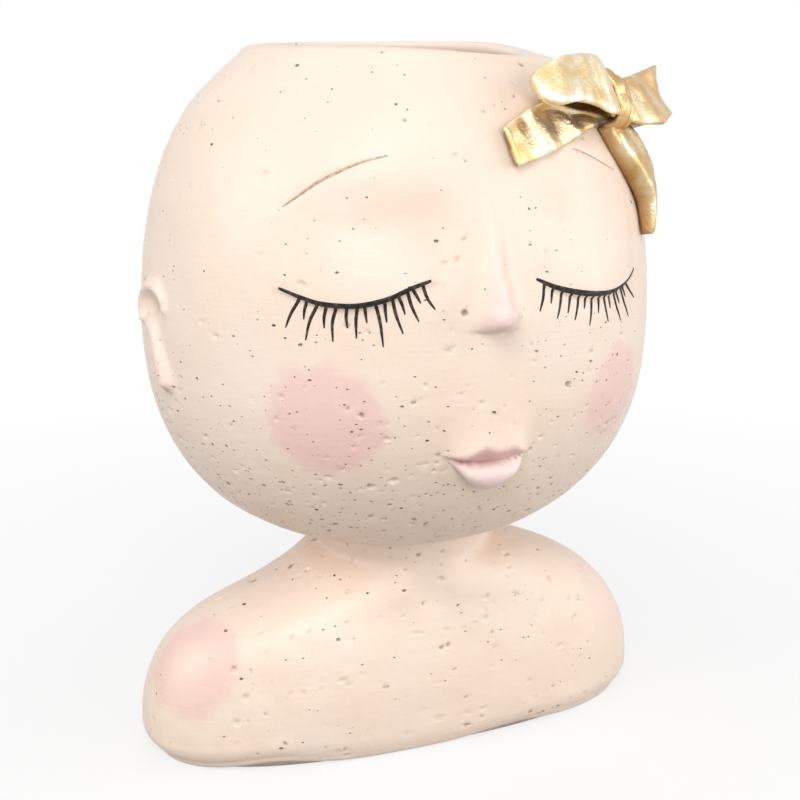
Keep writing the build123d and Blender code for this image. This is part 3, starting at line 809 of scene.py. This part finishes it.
# Lashes and brows: a dark line along each closed lid with fine strokes below it, brushed on in brown-black
# enamel, and a fine brown wash in each cut brow. They are thin ridges of paint that follow the casting.
lash_paint_colours = (0.006, 0.0045, 0.004), (0.11, 0.08, 0.065)
brow_wash_colours = (0.47, 0.33, 0.24), (0.74, 0.59, 0.47)
left_lashes = [
    ((-41.5, 142.0), (-43.4, 138.2), (-44.6, 134.6)), ((-39.9, 141.6), (-40.5, 139.4), (-40.7, 136.9)),
    ((-37.7, 140.8), (-39.4, 136.6), (-40.3, 131.8)), ((-35.9, 140.4), (-36.4, 137.8), (-36.4, 135.0)),
    ((-33.9, 140.2), (-34.7, 136.4), (-34.6, 131.8)), ((-31.7, 140.2), (-31.9, 137.8), (-31.6, 135.2)),
    ((-29.6, 140.5), (-29.9, 137.0), (-29.8, 132.8)), ((-28.1, 140.8), (-28.0, 139.0), (-27.7, 136.6)),
    ((-26.0, 141.4), (-25.0, 136.4), (-24.4, 130.7)), ((-24.1, 142.0), (-24.0, 139.6), (-23.7, 136.7)),
    ((-22.6, 142.6), (-21.8, 138.4), (-20.4, 133.9)), ((-21.4, 143.1), (-20.6, 141.0), (-20.0, 138.6)),
    ((-19.5, 144.0), (-18.6, 140.4), (-17.2, 136.8)), ((-18.5, 144.8), (-17.6, 143.0), (-16.8, 141.2)),
    ((-16.4, 145.8), (-15.4, 142.4), (-13.8, 139.6))]
right_lashes = [
    ((11.2, 144.2), (10.8, 140.6), (9.9, 137.3)), ((13.4, 143.1), (13.1, 141.0), (12.8, 138.9)),
    ((15.8, 142.2), (15.4, 138.6), (14.5, 134.8)), ((18.4, 141.2), (18.0, 138.6), (17.5, 135.8)),
    ((20.7, 140.7), (20.4, 137.4), (19.5, 133.7)), ((22.8, 140.2), (22.7, 138.2), (22.4, 136.2)),
    ((25.0, 139.8), (24.7, 135.8), (24.0, 131.6)), ((27.3, 139.5), (27.3, 137.0), (27.1, 134.3)),
    ((29.1, 139.4), (29.8, 135.4), (30.8, 131.4)), ((31.1, 139.5), (31.4, 137.2), (31.8, 134.8)),
    ((33.0, 139.6), (34.4, 135.2), (36.5, 130.5)), ((33.9, 139.9), (34.8, 137.8), (35.9, 135.3)),
    ((36.0, 140.3), (38.2, 135.6), (41.0, 130.7)), ((37.0, 140.5), (38.0, 138.6), (39.2, 136.4)),
    ((38.6, 140.9), (41.4, 138.0), (44.7, 135.1))]
lash_line_width = 1.5
lash_width = 0.92
left_brow_width = 0.75
right_brow_width = 0.36
paint_height = 0.2
paint_sink = 0.25
stroke_sides = 10
lash_steps = 16
line_steps = 60


def paint_stroke(corners, width, count, taper):
    """A low ridge of paint along a path on the head. Across it is an ellipse whose lower half is sunk in the
    casting, and the taper gives its width along the path."""
    path = smooth_path(corners, count)
    azimuth, height = path[:, 0] * degree, path[:, 1]
    step = np.gradient(path * np.array([degree * level_radius, 1.0]), axis=0)
    step /= np.linalg.norm(step, axis=-1, keepdims=True)
    half = width / 2 * taper(np.linspace(0, 1, count))
    round_turn = np.linspace(0, 2 * np.pi, stroke_sides, endpoint=False)
    sideways = np.cos(round_turn)[None, :] * half[:, None]
    azimuths = azimuth[:, None] - sideways * step[:, 1:2] / level_radius
    heights = height[:, None] + sideways * step[:, 0:1]
    lift = np.where(np.sin(round_turn) > 0, paint_height, paint_sink) * np.sin(round_turn)
    lift = lift[None, :] * np.minimum(1, half[:, None] / width * 3)
    point, normal = egg_surface(azimuths, heights)
    raised = face_relief(azimuths, heights) + skin_lumps(point) + lift
    return point + normal * raised[..., None]


def join_grids(name, grids):
    """One mesh from several closed tubes of points, each with its two ends drawn to a point and closed."""
    meshes = []
    for grid in grids:
        ends = grid[[0, -1]].mean(axis=1, keepdims=True) + 0 * grid[[0, -1]]
        meshes.append(np.concatenate([ends[:1], grid, ends[1:]]))
    counts = [grid.shape[0] * grid.shape[1] for grid in meshes]
    offsets = np.concatenate([[0], np.cumsum(counts)])
    faces = []
    for grid, offset in zip(meshes, offsets):
        index = offset + np.arange(grid.shape[0] * grid.shape[1]).reshape(grid.shape[:2])
        right = np.roll(index, -1, axis=1)
        faces.append(np.stack([index[:-1], index[1:], right[1:], right[:-1]], axis=-1).reshape(-1, 4))
    mesh = bpy.data.meshes.new(name)
    points = np.concatenate([grid.reshape(-1, 3) for grid in meshes])
    mesh.from_pydata((points * mm).tolist(), [], np.concatenate(faces).tolist())
    weld(mesh)
    mesh.shade_smooth()
    return mesh


def weld(mesh):
    """Merges points that lie together and turns the faces outwards."""
    work = bmesh.new()
    work.from_mesh(mesh)
    bmesh.ops.remove_doubles(work, verts=work.verts, dist=1e-7)
    bmesh.ops.dissolve_degenerate(work, edges=work.edges, dist=1e-8)
    bmesh.ops.recalc_face_normals(work, faces=work.faces)
    work.to_mesh(mesh)
    work.free()


def lid_taper(share):
    """Width of the lash line: full in the middle, and a little under half of it at both ends."""
    return 0.45 + 0.55 * np.sin(np.pi * np.clip(share, 0, 1)) ** 0.6


def brow_taper(share):
    """Width of a brow line: full a little before its middle, and half of it at both ends."""
    return 0.5 + 0.5 * np.sin(np.pi * np.clip(share, 0, 1) ** 0.8)


def lash_taper(share):
    """Width of one lash: full at the lid, and under half of it at the tip."""
    return 1.0 - 0.6 * share ** 2.5


def enamel_paint(name, first, second):
    """Thin enamel of two near shades with a low gloss and faint brush streaks."""
    coat = ShaderNodes(bpy.data.materials.new(name))
    streak = coat.noise(coat.place(), 900.0, 3.0)
    shade = coat.blend(coat.span(streak, 0.45, 0.72), (*first, 1.0), (*second, 1.0))
    rough = coat.span(streak, 0.0, 1.0, 0.45, 0.7)
    return coat.set_shader(Base_Color=shade, Roughness=rough, Specular_IOR_Level=0.3)


enamel = enamel_paint("brown_black_enamel", *lash_paint_colours)
brow_wash = enamel_paint("brown_wash", *brow_wash_colours)
for name, line, lashes in (("left_eye_lashes", left_lash_line, left_lashes),
                           ("right_eye_lashes", right_lash_line, right_lashes)):
    strokes = [paint_stroke(line, lash_line_width, line_steps, lid_taper)]
    strokes += [paint_stroke(lash, lash_width, lash_steps, lash_taper) for lash in lashes]
    eye = add_piece(name, join_grids(name, strokes), enamel)
    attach(eye, "planter")
for name, line, width in (("left_brow_line", left_brow, left_brow_width),
                          ("right_brow_line", right_brow, right_brow_width)):
    stroke = paint_stroke(line, width, line_steps, brow_taper)
    brow = add_piece(name, join_grids(name, [stroke]), brow_wash)
    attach(brow, "planter")

# Bow: five lengths of stiff ribbon, soaked in glue and brushed with gold paint. Two closed loops and two
# tails meet under a knot that wraps them, and the whole bow is glued to the crown at one side.
bow_azimuth = 46.0 * degree
bow_height = 184.5
bow_facing = 36.0 * degree
bow_climb = 33.0 * degree
bow_roll = -2.5 * degree
ribbon_thickness = 2.2
ribbon_columns = 15
loop_rows = 150
tail_rows = 90
bow_out = np.array([
    np.sin(bow_facing) * np.cos(bow_climb), -np.cos(bow_facing) * np.cos(bow_climb), np.sin(bow_climb)])
bow_level = np.array([np.cos(bow_facing), np.sin(bow_facing), 0.0])
bow_up = np.cross(bow_out, bow_level)
bow_along = np.cos(bow_roll) * bow_level + np.sin(bow_roll) * bow_up
bow_across = np.cos(bow_roll) * bow_up - np.sin(bow_roll) * bow_level
bow_seat = egg_surface(np.array(bow_azimuth), np.array(bow_height))[0]
# Painted shade for the ribbons' inner faces, where little light reaches
inner_shade_gold = (0.42, 0.33, 0.22)


def bow_place(shares):
    """Places given as mm along the bow, mm up across it and mm off the head, turned into the frame."""
    shares = np.asarray(shares, float)
    return bow_seat + shares[..., :1] * bow_along + shares[..., 1:2] * bow_across + shares[..., 2:] * bow_out


def round_path(corners, count):
    """A closed curve through a few points, made of the same cubics as smooth_path."""
    corners = np.asarray(corners, float)
    at = np.linspace(0, len(corners), count, endpoint=False)
    cell = at.astype(int)
    ends = (corners[(cell + k) % len(corners)] for k in (-1, 0, 1, 2))
    return path_cubic(*ends, (at - cell)[:, None])


def ribbon_shell(middle, normal, half, lump):
    """Both faces of a ribbon, half its thickness off its middle, as one grid that runs round each row. Lumps
    are on the front only, and fade out where the ribbon thins to its edges."""
    front = middle + normal * (half + lump * np.minimum(1, half))[..., None]
    back = middle - normal * half[..., None]
    return np.concatenate([front, back[:, -2:0:-1]], axis=1)


def ribbon_grid(first_edge, second_edge, ripple, closed, seed):
    """A ribbon between two edge curves: straight across, rippled and lumpy, with rounded edges.
    Its outer face is on the side that the cross product of along and across points to."""
    edge_share = (1 - np.cos(np.linspace(0, np.pi, ribbon_columns))) / 2
    across = edge_share[None, :, None]
    middle = first_edge[:, None] * (1 - across) + second_edge[:, None] * across
    if closed:
        along_step = np.roll(middle, -1, axis=0) - np.roll(middle, 1, axis=0)
    else:
        along_step = np.gradient(middle, axis=0)
    normal = np.cross(along_step, np.gradient(middle, axis=1))
    normal /= np.linalg.norm(normal, axis=-1, keepdims=True)
    share = np.linspace(0, 1, len(middle))[:, None]
    rise = ripple(share, edge_share[None, :])
    middle = middle + normal * rise[..., None]
    half = ribbon_thickness / 2 * np.clip(1 - np.abs(2 * edge_share - 1) ** 5, 0, 1) ** 0.4
    half = half[None, :] + 0 * share
    if not closed:
        half = half * np.clip(1 - np.abs(2 * share - 1) ** 24, 0, 1) ** 0.5
    lump = layered_noise(middle, (0.22, 3.2, seed), (0.12, 1.4, seed + 1))
    return ribbon_shell(middle, normal, half, lump)


def ribbon_mesh(name, grid, closed, colours):
    """The ribbon's grid as a closed mesh with its paint on it and its faces outwards."""
    mesh = grid_mesh(name, grid, wrap_rows=closed)
    paint_mesh(mesh, colours)
    weld(mesh)
    mesh.shade_smooth()
    return mesh


def ribbon_tones(grid, tone):
    """Paint over a ribbon's grid: one tone on its outer face, and painted shade of a darker gold on its inner
    one.
    """
    columns = grid.shape[1]
    inner = smooth_step(np.arange(columns), columns // 2, columns // 2 + 2.0)[None, :]
    return mix_colours(np.ones(grid.shape) * np.array(tone), inner_shade_gold, inner + 0 * grid[..., 0])


def gold_paint():
    """Brushed gold paint: a metal sheen over warm ochre, streaked and grainy, darker and duller where it is
    thin, and multiplied by the ribbon's own tone."""
    coat = ShaderNodes(bpy.data.materials.new("brushed_gold_paint"))
    place = coat.place()
    cloud = coat.noise(place, 150.0, 5.0)
    colour = coat.blend(coat.span(cloud, 0.35, 0.68), (0.76, 0.55, 0.26, 1.0), (1.0, 0.93, 0.76, 1.0))
    paint = coat.add("Attribute", {"attribute_name": "paint"}).outputs["Color"]
    toned = coat.blend(1.0, colour, paint, "MULTIPLY")
    combed = coat.stretched(place, (0.3, 0.9, 0.4), (1.0, 6.0, 1.0))
    streaked = coat.bump(coat.noise(combed, 420.0, 4.0), 0.18, 0.0005)
    grainy = coat.bump(coat.noise(place, 1500.0, 4.0), 0.55, 0.0003, streaked)
    rough = coat.span(cloud, 0.3, 0.7, 0.42, 0.24)
    return coat.set_shader(Base_Color=toned, Normal=grainy, Roughness=rough, Metallic=0.9)


gold = gold_paint()
# Both loops: their upper and lower edges as (along, across, off the head) on the bow, in mm, round the band
left_loop_edges = (
    [(1.0, 8.0, 6.6), (-5.3, 8.5, 9.4), (-12.4, 9.2, 11.6), (-18.4, 9.5, 11.8), (-24.1, 9.6, 10.0),
     (-28.7, 9.1, 7.0), (-31.4, 8.2, 3.6), (-28.5, 7.4, 1.6), (-18.0, 6.8, 1.8), (-8.0, 6.0, 2.6),
     (1.0, 5.0, 3.8)],
    [(1.4, -7.2, 5.8), (-4.6, -6.4, 7.6), (-12.4, -6.9, 9.8), (-20.5, -4.8, 10.2), (-29.0, -3.5, 9.8),
     (-33.4, -2.4, 7.2), (-33.0, 1.0, 3.8), (-26.5, 1.0, 1.6), (-19.0, -1.6, 2.2), (-9.0, -3.4, 2.6),
     (1.0, -6.0, 3.4)])
right_loop_edges = (
    [(0.6, 5.2, 6.4), (9.7, 4.8, 7.6), (17.4, 6.0, 8.4), (25.0, 7.0, 9.2), (31.0, 7.9, 8.9),
     (33.4, 7.0, 6.2), (30.5, 6.0, 3.4), (20.0, 4.5, 2.2), (9.0, 3.5, 2.6), (0.6, 3.0, 3.8)],
    [(0.6, -7.4, 6.2), (9.5, -9.6, 8.0), (16.7, -9.8, 8.8), (22.0, -8.8, 9.0), (26.6, -7.2, 8.3),
     (29.4, -7.4, 5.8), (30.8, -7.4, 3.2), (24.0, -6.4, 1.7), (13.0, -7.2, 1.8), (0.6, -5.4, 3.6)])


def loop_ripple(dent):
    """Uneven soft folds across a band in mm: a wave of wandering length on its front only, and a dent of the
    given depth in the middle of its turn."""
    def ripple(share, across):
        """Rise at a share of the way round the band and a share of the way across it."""
        front = np.sin(np.pi * np.clip(share / 0.5, 0, 1))
        wander = share * 6.2 + 0.2 * across + 0.35 * np.sin(11.0 * share)
        hollow = dent * np.exp(-((share - 0.47) / 0.16) ** 2) * np.sin(np.pi * across)
        fine = 0.05 * np.sin(2 * np.pi * (share * 15 - 0.4 * across))
        return front * (0.42 * np.sin(2 * np.pi * wander) + fine) - hollow
    return ripple


for name, edges, seed, dent, tone in (
        ("bow_left_loop_ribbon", left_loop_edges, 101, 0.0, (1.0, 1.0, 1.0)),
        ("bow_right_loop_ribbon", right_loop_edges[::-1], 111, 3.0, (0.86, 0.75, 0.62))):
    curves = [round_path(bow_place(edge), loop_rows) for edge in edges]
    grid = ribbon_grid(*curves, loop_ripple(dent), True, seed)
    loop = add_piece(name, ribbon_mesh(name, grid, True, ribbon_tones(grid, tone)), gold)
    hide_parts(name.replace("_ribbon", ""))
    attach(loop, "planter")

# Left tail: a flat length of ribbon laid on the head below the left loop, its free end cut square. It lifts
# in low swells with grooves between them, and the cut end stands up in a torn lip.
left_tail_edges = (
    [(40.0, 187.0, 1.6), (29.0, 187.3, 1.6), (18.0, 186.0, 1.6), (9.5, 183.2, 1.6), (4.4, 180.8, 2.0)],
    [(43.5, 180.6, 1.6), (33.7, 179.2, 1.6), (21.5, 176.0, 1.6), (11.8, 173.3, 1.6), (6.0, 171.8, 2.0)])
left_tail_folds = (
    (0.7, 0.62, 0.05), (-0.3, 0.71, 0.035), (0.2, 0.82, 0.06), (-0.6, 0.49, 0.06), (0.5, 0.39, 0.04))


def lifted(corners):
    """Corners in degrees, mm up and mm off the head, as places in the frame."""
    corners = np.asarray(corners, float)
    point, normal = egg_surface(corners[:, 0] * degree, corners[:, 1])
    return point + normal * corners[:, 2:]


def tail_ripple(share, across):
    """Folds across the tail in mm, each a bell curve of its rise, place and spread, and the torn lip."""
    lean = share + 0.03 * across
    folds = sum(rise * np.exp(-((lean - place) / spread) ** 2) for rise, place, spread in left_tail_folds)
    lip = 0.7 * np.exp(-((share - 0.975) / 0.02) ** 2)
    return folds + lip + 0.10 * np.sin(share * 31 + across * 2)


curves = [smooth_path(lifted(edge), tail_rows) for edge in left_tail_edges]
grid = ribbon_grid(*curves, tail_ripple, False, 121)
tail_mesh = ribbon_mesh("bow_left_tail_ribbon", grid, False, ribbon_tones(grid, (0.98, 0.95, 0.9)))
left_tail = add_piece("bow_left_tail_ribbon", tail_mesh, gold)
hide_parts("bow_left_tail")
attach(left_tail, "planter")

# Right tail: a length folded along its middle. Its inner face stands up off the head to a ridge, its outer
# face hangs clear of the head and turns under, and both run out to a narrow tip. Painted shade darkens it
# away from the ridge, most at its foot on the head and on its back face.
right_tail_lines = (
    [(41.0, 179.8, 0.3), (41.7, 175.2, 0.3), (44.8, 169.9, 0.3), (49.4, 164.1, 0.3), (52.6, 158.4, 0.3),
     (52.6, 150.6, 0.3)],
    [(42.2, 179.2, 4.0), (42.8, 174.6, 4.5), (45.8, 169.8, 4.9), (50.2, 164.4, 5.2), (52.4, 159.2, 5.0),
     (52.4, 150.6, 3.4)],
    [(50.0, 178.2, 5.2), (53.6, 173.8, 5.7), (55.6, 168.2, 6.0), (55.6, 163.4, 5.6), (56.4, 158.4, 4.4),
     (54.8, 150.2, 2.6)],
    [(52.0, 179.0, 1.6), (56.0, 174.4, 1.6), (60.0, 168.8, 1.6), (62.0, 163.4, 1.6), (61.0, 158.0, 1.4),
     (56.4, 150.4, 1.2)])
line_shares = (0.0, 0.34, 0.78, 1.0)
# Painted shade at each line across the tail, lightest at the ridge, and powers that make the darker shade
# browner
line_shade_tones = (0.42, 0.80, 0.72, 0.5)
tone_powers = np.array((1.0, 1.5, 2.2))
folded_half_thickness = 0.8
fold_columns = 33
smoothing_passes = 5


def folded_grid(lines, seed):
    """A ribbon through lines along its length, with straight faces between them and rounded folds. It gives
    the grid and the painted shade over it, darkest on its back face. Each smoothing pass takes a quarter, a
    half and a quarter of three neighbours."""
    paths = np.stack([smooth_path(lifted(line), tail_rows) for line in lines], axis=1)
    at = np.linspace(0, 1, fold_columns)
    cell = np.clip(np.searchsorted(line_shares, at, side="right") - 1, 0, len(lines) - 2)
    starts, ends = np.take(line_shares, cell), np.take(line_shares, cell + 1)
    share = ((at - starts) / (ends - starts))[None, :, None]
    middle = paths[:, cell] * (1 - share) + paths[:, cell + 1] * share
    for smoothing_pass in range(smoothing_passes):
        middle[:, 1:-1] = (middle[:, :-2] + 2 * middle[:, 1:-1] + middle[:, 2:]) / 4
    normal = np.cross(np.gradient(middle, axis=0), np.gradient(middle, axis=1))
    normal /= np.maximum(np.linalg.norm(normal, axis=-1, keepdims=True), 1e-9)
    along = np.linspace(0, 1, tail_rows)[:, None]
    half = folded_half_thickness * np.clip(1 - np.abs(2 * at - 1) ** 12, 0, 1) ** 0.4
    half = half[None, :] * np.clip(1 - np.abs(2 * along - 1) ** 24, 0, 1) ** 0.5
    lump = layered_noise(middle, (0.3, 3.4, seed), (0.12, 1.3, seed + 1))
    tone = np.interp(at, line_shares, line_shade_tones)[None, :, None] ** tone_powers * np.ones(middle.shape)
    # The back face gets a deeper painted shade
    painted_shade_tones = np.concatenate([tone, 0.4 * tone[:, -2:0:-1]], axis=1)
    return ribbon_shell(middle, normal, half, lump), painted_shade_tones


grid, painted_shade_tones = folded_grid(right_tail_lines, 131)
tail_mesh = ribbon_mesh("bow_right_tail_ribbon", grid, False, painted_shade_tones)
right_tail = add_piece("bow_right_tail_ribbon", tail_mesh, gold)
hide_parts("bow_right_tail")
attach(right_tail, "planter")

# Knot: a short length of the same ribbon wrapped over the middle of the bow and pinched in at the sides. It
# is turned a little on the bow, and both its ends are tucked in behind the bow.
knot_slant = -17.5 * degree
knot_rows = 80
knot_edges = (
    [(-4.0, 6.6, 0.8), (-4.8, 7.4, 3.6), (-5.0, 6.6, 7.4), (-4.2, 2.8, 9.2), (-2.8, -2.2, 9.3),
     (-1.7, -6.4, 7.8), (-1.5, -7.6, 4.0), (-1.6, -6.8, 0.8)],
    [(3.4, 6.6, 0.8), (4.0, 7.2, 3.6), (4.4, 5.9, 7.4), (4.0, 2.2, 9.0), (3.4, -2.6, 9.1),
     (3.2, -6.8, 7.8), (3.4, -7.8, 4.0), (3.4, -7.0, 0.8)])


def knot_ripple(share, across):
    """Two lengthwise creases where the knot is pinched, given in mm."""
    return 0.3 * np.cos(2 * np.pi * (across - 0.45) * 1.7) + 0.12 * np.sin(share * 40 + 3 * across)


def knot_grid():
    """The knot between its two edges, turned on the bow by its slant."""
    curves = []
    for edge in knot_edges:
        along, across, off = np.transpose(edge)
        turned = np.stack([np.cos(knot_slant) * along - np.sin(knot_slant) * across,
                           np.sin(knot_slant) * along + np.cos(knot_slant) * across, off], axis=-1)
        curves.append(smooth_path(bow_place(turned), knot_rows))
    return ribbon_grid(*curves, knot_ripple, False, 141)


grid = knot_grid()
knot_mesh = ribbon_mesh("bow_knot_ribbon", grid, False, ribbon_tones(grid, (0.80, 0.66, 0.50)))
knot = add_piece("bow_knot_ribbon", knot_mesh, gold)
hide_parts("bow_knot")
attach(knot, "planter")

# Drain plug: a soft moulded rubber stopper, pushed up into the channel from below by its small grip. Its
# shape is the solid's own, and only its rubber is made here.
def plug_rubber():
    """Matt black rubber with a faint bloom and a moulded grain."""
    coat = ShaderNodes(bpy.data.materials.new("matt_plug_rubber"))
    place = coat.place()
    bloom = coat.noise(place, 260.0, 4.0)
    shade = coat.blend(bloom, (0.022, 0.020, 0.019, 1.0), (0.065, 0.060, 0.056, 1.0))
    grain = coat.bump(coat.noise(place, 1800.0), 0.3, 0.0002)
    return coat.set_shader(Base_Color=shade, Normal=grain, Roughness=0.78)


plug_material = plug_rubber()
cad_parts["drain_plug"].data.materials.clear()
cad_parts["drain_plug"].data.materials.append(plug_material)

# Stage: a plain pale floor, with soft boxes in front, at both sides and above, and a dim sky all round. The
# camera looks at the planter from its left and a little from above, as in the photo.
def pale_floor():
    """A pale matt floor. The camera and reflections see it as mostly white, and less light bounces off it."""
    coat = ShaderNodes(bpy.data.materials.new("pale_floor"))
    glow = coat.add("Emission", Color=(1.0, 1.0, 1.0, 1.0), Strength=1.0).outputs[0]
    ray = coat.add("LightPath").outputs
    seen = coat.combine("MAXIMUM", ray["Is Camera Ray"], ray["Is Glossy Ray"])
    pale = coat.blend(seen, (0.32, 0.31, 0.30, 1.0), (0.90, 0.90, 0.90, 1.0))
    away = coat.add("VectorMath", {"operation": "LENGTH"}, in_0=coat.place()).outputs["Value"]
    share = coat.combine("MULTIPLY", seen, coat.span(away, 0.12, 0.40, 0.72, 1.0))
    matt = coat.nodes["Principled BSDF"].outputs[0]
    coat.mix_shaders(share, matt, glow, "Material Output")
    return coat.set_shader(Base_Color=pale, Roughness=0.9)


floor_half = 3.0
floor_corners = [(-floor_half, -floor_half, 0), (floor_half, -floor_half, 0),
                 (floor_half, floor_half, 0), (-floor_half, floor_half, 0)]
floor_mesh = bpy.data.meshes.new("floor")
floor_mesh.from_pydata(floor_corners, [], [(0, 1, 2, 3)])
floor = add_piece("floor", floor_mesh, pale_floor())


def sky():
    """A soft even sky, seen as white by the camera and in reflections, which lights the rest dimly."""
    studio = ShaderNodes(bpy.data.worlds.new("studio"))
    light = studio.nodes["Background"]
    studio.fill(light, {"Color": (0.97, 0.985, 1.0, 1.0), "Strength": 0.30})
    white = studio.add("Background", Color=(1.0, 1.0, 1.0, 1.0), Strength=1.0)
    ray = studio.add("LightPath").outputs
    direct = studio.combine("MAXIMUM", ray["Is Camera Ray"], ray["Is Transmission Ray"])
    mirrored = studio.combine("MULTIPLY", ray["Is Glossy Ray"], 0.8)
    seen = studio.combine("MAXIMUM", direct, mirrored)
    studio.mix_shaders(seen, light.outputs[0], white.outputs[0], "World Output")
    bpy.context.scene.world = studio.owner


sky()


def soft_box(name, place, target, size, power, colour):
    """A square area lamp that faces a target point."""
    lamp = bpy.data.lights.new(name, "AREA")
    lamp.shape = "SQUARE"
    lamp.size = size
    lamp.energy = power
    lamp.color = colour
    holder = bpy.data.objects.new(name, lamp)
    bpy.context.scene.collection.objects.link(holder)
    holder.location = place
    aim = np.array(target) - np.array(place)
    holder.rotation_euler = (np.arctan2(np.hypot(aim[0], aim[1]), -aim[2]), 0, np.arctan2(-aim[0], aim[1]))


# Each lamp: its place and the point it faces in metres, its size, its power in watts and its colour
soft_box("key", (-0.40, -0.80, 0.90), (0.0, 0.0, 0.12), 0.6, 6.1, (1.0, 0.975, 0.965))
soft_box("fill", (0.90, -0.50, 0.38), (0.0, 0.0, 0.10), 0.7, 4.7, (1.0, 0.98, 0.97))
soft_box("front", (0.05, -1.10, 0.34), (0.0, 0.0, 0.10), 0.5, 2.6, (1.0, 0.98, 0.97))
soft_box("side", (-0.95, -0.10, 0.50), (0.0, 0.0, 0.12), 0.6, 3.8, (1.0, 0.99, 0.985))
soft_box("top", (0.05, 0.35, 1.1), (0.0, 0.0, 0.15), 0.8, 1.6, (1.0, 1.0, 1.0))

camera_place = (-0.15295, -0.37737, 0.20825)
camera_turn = -22.0 * degree
camera_dip = 14.87 * degree
camera = bpy.data.cameras.new("camera")
camera.lens = 65.0
camera.sensor_width = 36.0
camera.clip_start = 0.01
viewer = bpy.data.objects.new("camera", camera)
bpy.context.scene.collection.objects.link(viewer)
viewer.location = camera_place
viewer.rotation_euler = (np.pi / 2 - camera_dip, 0.0, camera_turn)
bpy.context.scene.camera = viewer
bpy.context.scene.view_settings.view_transform = "Standard"
